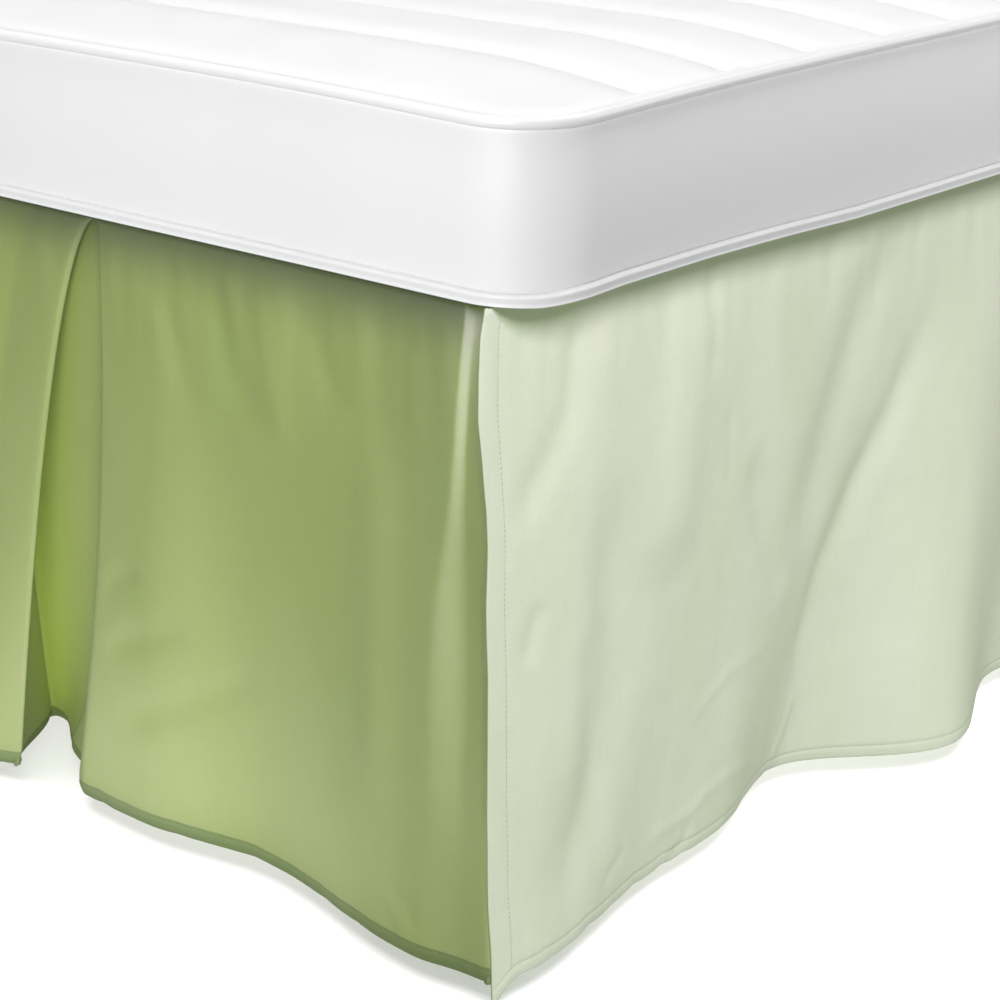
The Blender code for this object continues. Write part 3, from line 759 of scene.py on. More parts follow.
@dataclass
class Drop:
    """One hanging strip of the skirt, hemmed at its foot and at its two ends."""

    name: str
    node: str
    side: Side
    sections: tuple[Section, ...]
    creases: tuple[Crease, ...]
    flat: Pair
    seed: int
    tip_drop: float = 0.0105
    tip_reach: float = 0.020
    dip_fading: int = 6
    edge_bow: tuple[Pair, ...] = ()
    bow_reach: float = 0.045
    hem_lifts: tuple[Triple, ...] = ()
    thickness: float = 0.0009
    column_step: float = 0.0070
    fine_step: float = 0.0027
    fine_reach: Pair = (0.0, 0.0)
    row_step: float = 0.0034
    ripple: float = 0.0006
    ripple_below: float = 0.10
    ripple_reach: float = 0.085
    # The side hems get only a little of the painted shade.
    hem: Hem = Hem(0.0086, 0.0078, shade=0.12)
    end_hem: Hem = Hem(0.0146, 0.0136, pinch=0.00010, shade=0.04)
    crumple: float = 1.0

    def row_rises(self) -> np.ndarray:
        """Heights above the hem of the rows of points, from the seam down."""
        low = self.hem.guides()
        count = round((DROP_HEIGHT - low[-1]) / self.row_step) + 1
        plain = np.linspace(DROP_HEIGHT, low[-1], count)
        return np.concatenate([plain[:-1], low[::-1]])

    def column_places(self, knots: np.ndarray) -> np.ndarray:
        """Places of the columns of points along the cloth, closer at folds and at the end hems."""
        ends = self.end_hem.guides()
        clear = ends[-1] + LEAST_GAP
        runs = []
        for start, end in zip(knots, knots[1:]):
            fine = self.fine_reach[0] <= (start + end) / 2 <= self.fine_reach[1]
            step = self.fine_step if fine else self.column_step
            count = max(4, math.ceil((end - start) / step))
            runs.append(np.linspace(start, end, count + 1))
        inside = np.concatenate(runs)
        inside = inside[(inside > clear) & (inside < knots[-1] - clear)]
        return np.unique(np.round(np.concatenate([ends, knots[-1] - ends, inside]), 6))

    def hem_dip(self, along: np.ndarray) -> np.ndarray:
        """How much lower the hem hangs than its own height: small scallops and a loose tip."""
        dip = np.zeros_like(along)
        for place, reach, lift in self.hem_lifts:
            dip -= lift * np.clip(1.0 - np.abs(along - place) / reach, 0.0, 1.0) ** 1.5
        return dip + self.tip_drop * np.clip(1.0 - along / self.tip_reach, 0.0, 1.0) ** 2

    def bow(self, along: np.ndarray, rise: np.ndarray) -> np.ndarray:
        """Sideways wander of the free edge, which fades into the panel."""
        if not self.edge_bow:
            return np.zeros_like(along)
        shift = np.interp(rise, *zip(*self.edge_bow))
        return shift * np.exp(-np.clip(along, 0.0, None) / self.bow_reach)

    def relief(self, along: np.ndarray, rise: np.ndarray, front: np.ndarray) -> np.ndarray:
        """Small forms of the cloth: listed creases, gathers under the seam, crumple, puckers.

        Args:
            along: Distance from the corner of each point.
            rise: Height above the hem of each point.
            front: 1 on the panels that face outwards, 0 on the layers inside the pleat.

        Returns:
            How far each point moves out.
        """
        total = np.zeros_like(along)
        for crease in self.creases:
            total += crease.height_at(along, rise)
        total *= front
        random = np.random.default_rng(self.seed)
        gather_ease, crumple_ease, hidden_share = 0.03, 0.02, 0.35
        below = DROP_HEIGHT - rise
        under_seam = np.exp(-(below / self.ripple_reach) ** 2) * smoothstep(below / gather_ease)
        gathers = self.gathers(along, rise, random)
        total += self.ripple * gathers * (self.ripple_below * front + under_seam * front)
        crumple = self.crumpled(along, rise, random) * smoothstep(below / crumple_ease)
        crumple *= self.crumple * (hidden_share + (1.0 - hidden_share) * front)
        return total + crumple + self.puckers(along, rise)

    @staticmethod
    def gathers(along: np.ndarray, rise: np.ndarray, random: np.random.Generator) -> np.ndarray:
        """Uneven shallow waves of several lengths that run down from the seam."""
        total = np.zeros_like(along)
        for length in GATHER_LENGTHS:
            turn = random.uniform(0.0, 2 * math.pi)
            lean = random.uniform(-GATHER_LEAN, GATHER_LEAN)
            total += math.sqrt(length / GATHER_LENGTHS[-1]) * np.sin(
                2 * math.pi * (along + lean * rise) / length + turn)
        return total

    @staticmethod
    def crumpled(along: np.ndarray, rise: np.ndarray, random: np.random.Generator) -> np.ndarray:
        """Fine crumple of the cloth, made from a large and a small noise."""
        offset = random.uniform(0.0, 50.0)
        crumple = np.zeros(along.size)
        for index, (a, r) in enumerate(zip(along.ravel(), rise.ravel())):
            for depth, across, down, shift in CRUMPLE_WAVES:
                crumple[index] += depth * noise.noise((a * across, r * down, offset + shift))
        return crumple.reshape(along.shape)

    def puckers(self, along: np.ndarray, rise: np.ndarray) -> np.ndarray:
        """Small unevenly spaced puckers along the stitches of the hem."""
        uneven = 2.0 * np.sin(along * 170.0)
        waves = np.sin(2 * math.pi * along / PUCKER_LENGTH + uneven)
        near_hem = np.exp(-((rise - self.hem.stitch_at) / PUCKER_REACH) ** 2)
        return PUCKER_DEPTH * waves * near_hem

    def plan_curves(self, depth: np.ndarray) -> tuple[np.ndarray, ...]:
        """Run the plan curves through the sections.

        Args:
            depth: Depth of each row, from 0 at the seam to 1 at the hem.

        Returns:
            Places of the sections and of the columns along the cloth, then the distances along
            and out of every point.
        """
        along = np.array([section.along(depth) for section in self.sections])
        out = np.array([section.out(depth) for section in self.sections])
        steps = np.hypot(np.diff(along, axis=0), np.diff(out, axis=0))
        chord = (steps[:, 0] + steps[:, -1]) / 2
        knots = np.concatenate([[0.0], np.cumsum(chord)])
        places = self.column_places(knots)
        along, out = (monotone_curve(knots, values, places).T for values in (along, out))
        return knots, places, along, out

    def build(self) -> tuple[bpy.types.Object, list[np.ndarray]]:
        """Build the drop.

        Returns:
            The drop as a closed thin mesh, and the lines that its stitches follow.
        """
        rise = self.row_rises()
        knots, places, along, out = self.plan_curves(1.0 - rise / rise[0])
        rises = np.repeat(rise[:, None], len(places), axis=1)
        along += self.bow(along, rises)
        dip = self.hem_dip(along) * (1.0 - rises / rise[0]) ** self.dip_fading
        height = HEM_HEIGHT + rises - dip
        middle = self.side.to_world(along, out, height)
        normal = self.normals(middle)
        front = self.front_mask(knots, places)
        middle += normal * (self.relief(along, rises, front) + self.hem.rolled(rises))[..., None]
        from_end = np.minimum(places, knots[-1] - places)
        from_end = np.repeat(from_end[None, :], len(rise), axis=0)
        face, back = self.thickened(middle, rises, from_end)
        # Hem mask, weighted by each hem's share of painted shade.
        doubled = np.maximum(self.hem.shade * self.hem.doubled(rises),
                             self.end_hem.shade * self.end_hem.doubled(from_end))
        piece = closed_sheet(self.name, face, back, self.flat_places(middle),
                             self.side.outward_sign, doubled)
        row = int(np.argmin(np.abs(rise - self.hem.stitch_at)))
        first = int(np.argmin(np.abs(places - self.end_hem.stitch_at)))
        last = int(np.argmin(np.abs(places - knots[-1] + self.end_hem.stitch_at)))
        lines = [face[row, first:last + 1], face[:row + 1, first], face[:row + 1, last]]
        return piece, lines

    def thickened(self, middle: np.ndarray, rises: np.ndarray, from_end: np.ndarray
                  ) -> tuple[np.ndarray, np.ndarray]:
        """Give the sheet its thickness, its round edges and its turned hems.

        Args:
            middle: Points of the sheet's middle.
            rises: Height above the hem of each point.
            from_end: Distance from the nearer end of each point.

        Returns:
            The points of the right side and of the wrong side.
        """
        normal = self.normals(middle)
        hem_round = self.hem.rounded(rises)
        end_round = self.end_hem.rounded(from_end)
        half = self.thickness / 2 * hem_round * end_round
        lift = self.hem.relief(rises) + self.end_hem.relief(from_end)
        lift *= np.minimum(hem_round, end_round)
        extra = np.maximum(self.hem.thicker(rises), self.end_hem.thicker(from_end))
        extra *= hem_round * end_round
        face = middle + normal * (half + lift)[..., None]
        return face, middle - normal * (half + extra)[..., None]

    def normals(self, points: np.ndarray) -> np.ndarray:
        """Outward normals of a grid of points."""
        across = np.gradient(points, axis=1)
        down = np.gradient(points, axis=0)
        normal = np.cross(across, down)
        normal /= np.linalg.norm(normal, axis=-1, keepdims=True)
        return normal * self.side.outward_sign

    def front_mask(self, knots: np.ndarray, places: np.ndarray) -> np.ndarray:
        """1 on the panels that face outwards and 0 on turned ends and inside the pleat."""
        at = {section.name: knot for section, knot in zip(self.sections, knots)}
        ease = 0.02
        mask = np.maximum(smoothstep((at["near fold front"] - places) / ease),
                          smoothstep((places - at["far fold front"]) / ease))
        if self.side is Side.FOOT:
            mask *= smoothstep((places - at["corner edge"] + ease) / ease)
            mask *= smoothstep((at["far edge"] - places + ease) / ease)
        return mask[None, :]

    @staticmethod
    def flat_places(middle: np.ndarray) -> np.ndarray:
        """Place of each point on the cloth laid flat, in metres."""
        across = np.linalg.norm(np.diff(middle, axis=1), axis=-1)
        down = np.linalg.norm(np.diff(middle, axis=0), axis=-1)
        u = np.concatenate([np.zeros((len(middle), 1)), np.cumsum(across, axis=1)], axis=1)
        v = np.concatenate([np.zeros((1, middle.shape[1])), np.cumsum(down, axis=0)], axis=0)
        return np.stack([u, -v], axis=-1)


FOOT_RIGHT = (
    Section("turned end", 0.0435, -0.088, 0.045, -0.088),
    Section("turned part", 0.043, -0.055, 0.044, -0.056),
    Section("turned start", 0.0402, -0.03, 0.0395, -0.034),
    Section("recess", 0.0395, -0.014, 0.0305, 0.006, between=(
        (0.1, 0.0393, -0.0062), (0.28, 0.0388, -0.002), (0.45, 0.0385, -0.0034),
        (0.7, 0.0368, 0.001), (0.85, 0.0335, 0.004))),
    Section("recess edge", 0.049, -0.006, 0.056, 0.0085, between=(
        (0.1, 0.0528, -0.004), (0.28, 0.0546, -0.0028), (0.45, 0.0553, -0.0044),
        (0.58, 0.054, -0.0026), (0.7, 0.0534, 0.0012), (0.82, 0.0535, 0.006))),
    Section("corner edge", 0.0516, 0.0, 0.083, 0.013, 0.6, (
        (0.1, 0.0562, 0.0008), (0.28, 0.0634, 0.002), (0.45, 0.0736, 0.0043),
        (0.58, 0.0762, 0.0064), (0.7, 0.0758, 0.0085))),
    Section("corner crest", 0.07, 0.0, 0.105, 0.0115, 0.6),
    Section("panel valley", 0.235, 0.0, 0.24, -0.011, between=(
        (0.25, 0.236, -0.0042), (0.45, 0.2375, -0.0072), (0.7, 0.239, -0.0098))),
    Section("panel crest", 0.3, 0.0, 0.335, 0.003, 1.2),
)
FOOT_LEFT = (
    Section("far crest", 0.44, 0.0, 0.505, 0.012),
    Section("far valley", 0.56, 0.0, 0.585, -0.009),
    Section("far edge", 0.645, 0.0, 0.635, 0.01),
    Section("far recess edge", 0.656, -0.006, 0.65, 0.004),
    Section("far recess", 0.659, -0.014, 0.658, -0.01),
    Section("far turned start", 0.66, -0.03, 0.658, -0.036),
    Section("far turned part", 0.6605, -0.055, 0.656, -0.075),
    Section("far turned end", 0.6605, -0.088, 0.654, -0.125),
)
RIGHT_NEAR = (
    Section("free edge", 0.0, 0.0, 0.003, 0.008),
    Section("free edge hem", 0.0155, 0.0, 0.0182, 0.009),
    Section("corner bulge", 0.12, 0.0, 0.045, 0.011, 0.6),
    Section("first shoulder", 0.26, 0.0, 0.17, -0.009, 0.6),
    Section("second shoulder", 0.35, 0.0, 0.235, -0.011, 0.6),
    Section("deep valley", 0.47, 0.0, 0.338, -0.038, 0.6),
    Section("wide crest", 0.57, 0.0, 0.458, 0.034, 0.6),
    Section("soft valley", 0.63, 0.0, 0.58, -0.01, 0.8),
)
RIGHT_FAR = (
    Section("far valley", 0.88, 0.0, 0.85, -0.024, 0.8),
    Section("far crest", 0.99, 0.0, 0.97, 0.02, 0.8),
    Section("head valley", 1.11, 0.0, 1.1, -0.022, 0.8),
    Section("head crest", 1.23, 0.0, 1.235, 0.014),
    Section("head end", 1.38, 0.0, 1.376, -0.004),
)
LEFT_NEAR = (
    Section("free edge", 0.0, 0.0, 0.005, 0.006),
    Section("free edge hem", 0.0155, 0.002, 0.02, 0.008),
    Section("corner bulge", 0.09, 0.0, 0.07, 0.014, 0.8),
    Section("corner valley", 0.2, 0.0, 0.18, -0.016, 0.7),
    Section("near crest", 0.31, 0.0, 0.295, 0.022, 0.7),
    Section("near valley", 0.42, 0.0, 0.415, -0.026, 0.8),
    Section("middle crest", 0.54, 0.0, 0.53, 0.018, 0.8),
    Section("soft valley", 0.62, 0.0, 0.605, -0.006, 0.8),
)
LEFT_FAR = (
    Section("far valley", 0.83, 0.0, 0.845, -0.02, 0.8),
    Section("far crest", 0.96, 0.0, 0.99, 0.026, 0.7),
    Section("head valley", 1.1, 0.0, 1.12, -0.018, 0.8),
    Section("head crest", 1.24, 0.0, 1.25, 0.01),
    Section("head end", 1.38, 0.0, 1.38, -0.003),
)
FOOT_PLEAT = BoxPleat(0.35, 0.416, 1.8, 0.462, 0.6, 0.018, 0.001, 0.506, 0.068)
RIGHT_PLEAT = BoxPleat(0.7, 0.676, 1.6, 0.726, 1.6, 0.008, 0.01, 0.752, 0.034)
LEFT_PLEAT = BoxPleat(0.7, 0.682, 1.6, 0.724, 1.6, 0.008, 0.008, 0.75, 0.03)

FOOT_CREASES = (
    Crease(((0.366, 0.112), (0.337, 0.129), (0.283, 0.149)), 0.01, -0.002),
    Crease(((0.36, 0.066), (0.295, 0.096), (0.226, 0.131)), 0.012, -0.0021),
    Crease(((0.368, 0.155), (0.324, 0.18)), 0.009, -0.0013),
    Crease(((0.306, 0.385), (0.287, 0.341), (0.27, 0.29)), 0.01, -0.001),
    Crease(((0.249, 0.39), (0.241, 0.337), (0.22, 0.285)), 0.012, -0.0014),
    Crease(((0.179, 0.39), (0.162, 0.346), (0.143, 0.315)), 0.012, -0.0014),
    Crease(((0.208, 0.39), (0.205, 0.33), (0.196, 0.28)), 0.011, 0.0012),
    Crease(((0.118, 0.33), (0.12, 0.2), (0.122, 0.05)), 0.016, 0.002),
    Crease(((0.104, 0.046), (0.088, 0.03), (0.08, 0.014)), 0.004, -0.0006),
    Crease(((0.112, 0.034), (0.098, 0.022), (0.092, 0.01)), 0.004, 0.0006),
)
RIGHT_CREASES = (
    Crease(((0.085, 0.39), (0.07, 0.325), (0.056, 0.306), (0.041, 0.291), (0.022, 0.262)),
           0.013, -0.0027),
    Crease(((0.198, 0.396), (0.204, 0.343), (0.204, 0.31)), 0.007, -0.0011),
    Crease(((0.083, 0.396), (0.078, 0.355)), 0.006, -0.0008),
    Crease(((0.086, 0.2), (0.093, 0.11), (0.105, 0.026)), 0.013, -0.0016),
    Crease(((0.188, 0.39), (0.181, 0.317), (0.172, 0.26), (0.16, 0.19)), 0.028, 0.0046),
    Crease(((0.225, 0.3), (0.229, 0.24)), 0.004, -0.0007),
    Crease(((0.25, 0.262), (0.268, 0.204), (0.286, 0.17), (0.305, 0.14)), 0.013, -0.0032),
    Crease(((0.407, 0.385), (0.382, 0.336), (0.366, 0.306), (0.349, 0.266), (0.334, 0.22),
            (0.322, 0.16)), 0.024, -0.005),
    Crease(((0.455, 0.33), (0.436, 0.276), (0.419, 0.241), (0.389, 0.198), (0.361, 0.144),
            (0.35, 0.09), (0.345, 0.04)), 0.014, -0.0043),
    Crease(((0.108, 0.29), (0.114, 0.196), (0.112, 0.15), (0.1, 0.105), (0.084, 0.072),
            (0.066, 0.04), (0.05, 0.008)), 0.024, -0.0058),
    Crease(((0.046, 0.225), (0.028, 0.186)), 0.008, -0.0014),
    Crease(((0.295, 0.118), (0.241, 0.114), (0.214, 0.1), (0.195, 0.088)), 0.0038, 0.0005),
    Crease(((0.303, 0.028), (0.247, 0.038), (0.22, 0.035), (0.208, 0.028), (0.166, 0.025),
            (0.142, 0.026)), 0.004, 0.0007),
    Crease(((0.208, 0.024), (0.199, 0.007), (0.18, 0.003)), 0.004, -0.0009),
    Crease(((0.133, 0.033), (0.103, 0.02)), 0.0036, -0.0008),
    Crease(((0.351, 0.06), (0.343, 0.03), (0.331, 0.0)), 0.003, 0.0009),
)
LEFT_CREASES = (
    Crease(((0.15, 0.3), (0.13, 0.19)), 0.012, -0.0026),
    Crease(((0.33, 0.31), (0.3, 0.18)), 0.014, -0.0026),
    Crease(((0.905, 0.29), (0.92, 0.16)), 0.014, -0.0026),
)
# Wander of the right drop's free edge: height above the hem, shift along.
RIGHT_EDGE_BOW = (
    (-0.011, -0.006), (-0.002, -0.006), (0.027, -0.0057), (0.058, -0.0073), (0.087, -0.0067),
    (0.113, -0.006), (0.145, -0.0042), (0.189, -0.002), (0.229, -0.0024), (0.265, 0.0002),
    (0.287, -0.0004), (0.318, -0.0035), (0.339, -0.006), (0.362, -0.005), (0.384, -0.003),
    (0.402, 0.0025),
)
# Small lifts of a hem: distance along, reach to each side, rise.
RIGHT_HEM_LIFTS = (
    (0.0896, 0.014, 0.0016), (0.117, 0.01, 0.0007), (0.1443, 0.016, 0.0018),
    (0.1778, 0.012, 0.0014), (0.1999, 0.011, 0.0012), (0.25, 0.02, 0.0008),
    (0.329, 0.014, 0.0014), (0.045, 0.012, 0.0008),
)
FOOT_HEM_LIFTS = (
    (0.14, 0.02, 0.0008), (0.175, 0.012, 0.0007), (0.245, 0.018, 0.0007),
    (0.305, 0.012, 0.0006), (0.375, 0.012, 0.0012),
)


@dataclass
class Skirt:
    """The bed skirt: three drops and the deck that they hang from."""

    deck_half_width: float = 0.315
    deck_foot_y: float = FOOT_FACE_Y + 0.0035
    deck_head_y: float = HEAD_FACE_Y - 0.020
    deck_height: float = 0.4112
    deck_thickness: float = 0.0009

    @staticmethod
    def drops() -> tuple[Drop, ...]:
        """The three drops, foot first."""
        foot = FOOT_RIGHT + FOOT_PLEAT.sections() + FOOT_LEFT
        right = RIGHT_NEAR + RIGHT_PLEAT.sections() + RIGHT_FAR
        left = LEFT_NEAR + LEFT_PLEAT.sections() + LEFT_FAR
        return (
            Drop("foot_drop_cloth", "foot_drop", Side.FOOT, foot, FOOT_CREASES, (1.06, 0.418), 11,
                 tip_drop=0.0, crumple=0.5, ripple=0.0004, ripple_below=0.02,
                 ripple_reach=0.065, hem=Hem(0.0110, 0.0100, roll=0.0038),
                 end_hem=Hem(0.0100, 0.0090), fine_reach=(0.07, 0.48),
                 hem_lifts=FOOT_HEM_LIFTS),
            Drop("side_drop_right_cloth", "side_drop_right", Side.RIGHT, right, RIGHT_CREASES,
                 (1.61, 0.418), 23, edge_bow=RIGHT_EDGE_BOW, fine_reach=(0.0, 0.50),
                 ripple=0.00038, ripple_below=0.05, ripple_reach=0.065,
                 hem_lifts=RIGHT_HEM_LIFTS),
            Drop("side_drop_left_cloth", "side_drop_left", Side.LEFT, left, LEFT_CREASES,
                 (1.61, 0.418), 37),
        )

    def deck(self) -> bpy.types.Object:
        """The plain flat cloth between the base and the mattress."""
        columns, rows = 40, 80
        across = np.linspace(-self.deck_half_width, self.deck_half_width, columns)
        down = np.linspace(self.deck_foot_y, self.deck_head_y, rows)
        x, y = np.meshgrid(across, down)
        z = np.full_like(x, self.deck_height)
        middle = np.stack([x, y, z], axis=-1)
        up = np.array([0.0, 0.0, self.deck_thickness / 2])
        cut = np.stack([x, y], axis=-1)
        return closed_sheet("deck_cloth", middle + up, middle - up, cut, -1.0)

    def build(self, cloth: bpy.types.Material, thread: bpy.types.Material) -> list[bpy.types.Object]:
        """Build, dress and declare every piece of the skirt.

        Args:
            cloth: Finish of the cloth.
            thread: Finish of the stitches.

        Returns:
            The pieces.
        """
        stitching = Stitching()
        tree = stitching.tree()
        deck = self.deck()
        dress(deck, cloth)
        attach(deck, BODY)
        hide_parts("deck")
        made = [deck]
        for drop in self.drops():
            piece, lines = drop.build()
            dress(piece, cloth)
            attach(piece, BODY)
            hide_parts(drop.node)
            sewn = stitching.sew(drop.node + "_stitches", lines, tree, thread)
            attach(sewn, BODY)
            LOG.info("%s: %d faces, %d stitch faces", piece.name, len(piece.data.polygons),
                     len(sewn.data.polygons))
            made += [piece, sewn]
        return made


# Hollow of the flat tape: height as a share of its half height, depth as a share of its own.
TAPE_HOLLOW = ((-1.0, 0.10), (-0.84, 0.14), (-0.72, 0.40), (-0.45, 0.48), (0.30, 0.17),
               (0.48, 0.07), (0.66, 0.0), (1.0, 0.0))


@dataclass
class Mattress:
    """The filled mattress with its channelled top and two piped edges."""

    corner_radius: float = 0.050
    rim_inset: float = 0.01083
    rim_height: float = 0.5146
    crown: float = 0.010
    crown_reach: float = 0.120
    roll: float = 0.0022
    roll_reach: float = 0.006
    channel_first: float = 0.103
    channel_count: int = 16
    channel_depth: float = 0.0046
    channel_sharpness: float = 4.2
    notch_depth: float = 0.0014
    notch_width: float = 0.0018
    top_welt_radius: float = 0.0034
    top_welt_height: float = 0.5124
    low_welt_radius: float = 0.0042
    low_welt_half_height: float = 0.0036
    low_welt_height: float = 0.4151
    corner_droop: float = 0.0042
    droop_reach: float = 0.13
    # How far the soft lower rim curls up on the right side: distance from the foot end, rise.
    rim_curl: tuple[Pair, ...] = (
        (0.0, 0.0), (0.020, 0.0), (0.040, 0.0020), (0.075, 0.0033), (0.15, 0.0036),
        (0.19, 0.0031), (0.225, 0.0024), (0.265, 0.0011), (0.30, 0.0),
    )
    # The side from the top's rim down to the underside: distance in, height.
    wall_profile: tuple[Pair, ...] = (
        (0.0094, 0.5145), (0.0080, 0.5142), (0.0068, 0.5138), (0.0058, 0.5128), (0.0050, 0.5112),
        (0.0042, 0.5098), (0.0035, 0.5090), (0.0032, 0.5082), (0.0031, 0.5070), (0.0032, 0.5050),
        (0.0030, 0.5010), (0.0024, 0.4920), (0.0016, 0.4800), (0.0012, 0.4680), (0.0013, 0.4550),
        (0.0020, 0.4420), (0.0027, 0.4320), (0.0031, 0.4260), (0.0033, 0.4228), (0.0034, 0.4210),
        (0.0038, 0.4198), (0.0052, 0.4184), (0.0090, 0.4160), (0.0126, 0.4140), (0.0148, 0.4123),
    )

    @property
    def reach(self) -> np.ndarray:
        """Half width and half length of the outline without its round corners."""
        return np.array([HALF_WIDTH - self.corner_radius, HALF_LENGTH - self.corner_radius])

    @property
    def panel_radius(self) -> float:
        """Corner radius of the top panel."""
        return self.corner_radius - self.rim_inset

    @property
    def pitch(self) -> float:
        """Distance from one channel to the next."""
        return (2 * HALF_LENGTH - 2 * self.channel_first) / (self.channel_count - 1)

    def outline(self, inset: float, steps: int = 14, straight: float = 0.008) -> np.ndarray:
        """Points of the mattress outline, anticlockwise, moved in by an inset."""
        arcs = []
        for corner, start in (((1, -1), -90), ((1, 1), 0), ((-1, 1), 90), ((-1, -1), 180)):
            angles = np.radians(start + np.linspace(0.0, 90.0, steps + 1))
            turned = np.stack([np.cos(angles), np.sin(angles)], axis=-1)
            arcs.append(corner * self.reach + (self.corner_radius - inset) * turned)
        points = []
        for arc, following in zip(arcs, arcs[1:] + arcs[:1]):
            count = max(2, round(np.linalg.norm(following[0] - arc[-1]) / straight))
            run = np.linspace(arc[-1], following[0], count + 1)[1:-1]
            points += [arc, run]
        return np.concatenate(points) + [0.0, MIDDLE_Y]

    def top_height(self, y: np.ndarray, side_edge: np.ndarray, end_edge: np.ndarray) -> np.ndarray:
        """Height of the filled top: a low crown that is sewn down at every channel.

        Args:
            y: Places along the bed, from the mattress's middle.
            side_edge: Distance in from the top's rim at the sides.
            end_edge: Distance in from the top's rim at the ends.

        Returns:
            Heights above the floor.
        """
        crown, roll = self.crown, self.roll
        for edge in (side_edge, end_edge):
            crown = crown * np.sin(np.clip(edge / self.crown_reach, 0.0, 1.0) * math.pi / 2)
            roll = roll * (1.0 - np.exp(-edge / self.roll_reach))
        half_pitch = self.pitch / 2
        first = self.channel_first - HALF_LENGTH
        nearest = np.abs((y - first + half_pitch) % self.pitch - half_pitch)
        inside = (y > first - half_pitch) & (y < -first + half_pitch)
        share = np.clip(nearest / half_pitch, 0.0, 1.0)
        dip = self.channel_depth * (1.0 - share) ** self.channel_sharpness
        notch = self.notch_depth * np.exp(-(nearest / self.notch_width) ** 2)
        side_ease, end_ease = 0.007, 0.014
        ends = smoothstep(side_edge / side_ease) * smoothstep(end_edge / end_ease)
        return self.rim_height + crown + roll - (dip + notch) * ends * inside

    def droop(self, points: np.ndarray) -> np.ndarray:
        """How much lower each point hangs: at the soft top corners, less the lower rim's curl."""
        x, y, z = points[:, 0], points[:, 1] - MIDDLE_Y, points[:, 2]
        away = (HALF_WIDTH - np.abs(x)) ** 2 + (HALF_LENGTH - np.abs(y)) ** 2
        droop_start, droop_rise = 0.44, 0.07
        top = self.corner_droop * np.exp(-away / self.droop_reach ** 2)
        top *= smoothstep((z - droop_start) / droop_rise)
        curl_end, curl_rise = 0.445, 0.025
        side_start, side_reach = 0.28, 0.06
        curl = np.interp(y + HALF_LENGTH, *zip(*self.rim_curl))
        curl *= smoothstep((curl_end - z) / curl_rise) * smoothstep((x - side_start) / side_reach)
        return top - curl

    def columns(self) -> np.ndarray:
        """Places across the top panel, as shares of its half width from -1 to 1."""
        half = HALF_WIDTH - self.rim_inset
        from_rim = np.array([0.0, 0.001, 0.002, 0.0035, 0.0055, 0.008, 0.011, 0.015, 0.020, 0.028,
                             0.040])
        inner = np.linspace(0.052, half, 25)
        side = 1.0 - np.concatenate([from_rim, inner]) / half
        return np.concatenate([-side, side[:-1][::-1]])

    def rows(self) -> np.ndarray:
        """Places along the top panel from its middle, closer at the channels and round corners."""
        reach = self.reach[1]
        arc = reach + self.panel_radius * np.sin(np.radians(np.linspace(0.0, 90.0, 15)))
        channels = self.channel_first - HALF_LENGTH + self.pitch * np.arange(self.channel_count)
        beside = np.array([0.0, 0.0008, 0.0018, 0.0032, 0.0055, 0.009, 0.014, 0.021, 0.029, 0.038])
        near = (channels[:, None] + np.concatenate([-beside[1:], beside])[None, :]).ravel()
        near = near[np.abs(near) < reach - LEAST_GAP]
        crests = (channels[:-1] + channels[1:]) / 2
        places = np.concatenate([-arc, arc, near, crests])
        return np.unique(np.round(places, 6))

    def half_width_at(self, place: np.ndarray) -> np.ndarray:
        """Half the top panel's width at places along the bed."""
        past = np.clip(np.abs(place) - self.reach[1], 0.0, self.panel_radius)
        return self.reach[0] + np.sqrt(self.panel_radius ** 2 - past ** 2)

    def outline_normals(self, ring: np.ndarray) -> np.ndarray:
        """Outward directions in plan at points of the outline, measured from the middle."""
        away = ring - np.clip(ring, -self.reach, self.reach)
        return away / np.linalg.norm(away, axis=-1, keepdims=True)

    def body(self) -> bpy.types.Object:
        """The closed body: top panel, then its rim drawn down ring by ring to the underside."""
        shares = self.columns()
        places = self.rows()
        half_width = self.half_width_at(places)
        x = shares[None, :] * half_width[:, None]
        y = np.repeat(places[:, None], len(shares), axis=1)
        side_edge = half_width[:, None] - np.abs(x)
        end_edge = HALF_LENGTH - self.rim_inset - np.abs(y)
        z = self.top_height(y, side_edge, end_edge)
        panel = np.stack([x, y, z], axis=-1)
        rows, columns = x.shape
        ring = border(np.arange(rows * columns).reshape(rows, columns))
        following = np.roll(np.arange(len(ring)), -1)
        flat = panel.reshape(-1, 3)
        normals = self.outline_normals(flat[ring, :2])
        points = [flat]
        faces = [grid_faces(rows, columns, 0, True)]
        upper = ring
        count = len(flat)
        for inset, height in self.wall_profile:
            lower = count + np.arange(len(ring))
            plan = flat[ring, :2] + normals * (self.rim_inset - inset)
            points.append(np.column_stack([plan, np.full(len(ring), height)]))
            faces.append(np.stack([upper, lower, lower[following], upper[following]], axis=-1))
            upper = lower
            count += len(ring)
        placed = np.concatenate(points) + [0.0, MIDDLE_Y, 0.0]
        placed[:, 2] -= self.droop(placed)
        quads = np.concatenate(faces).tolist()
        return smooth_piece("mattress_body", placed, quads + [upper[::-1].tolist()])

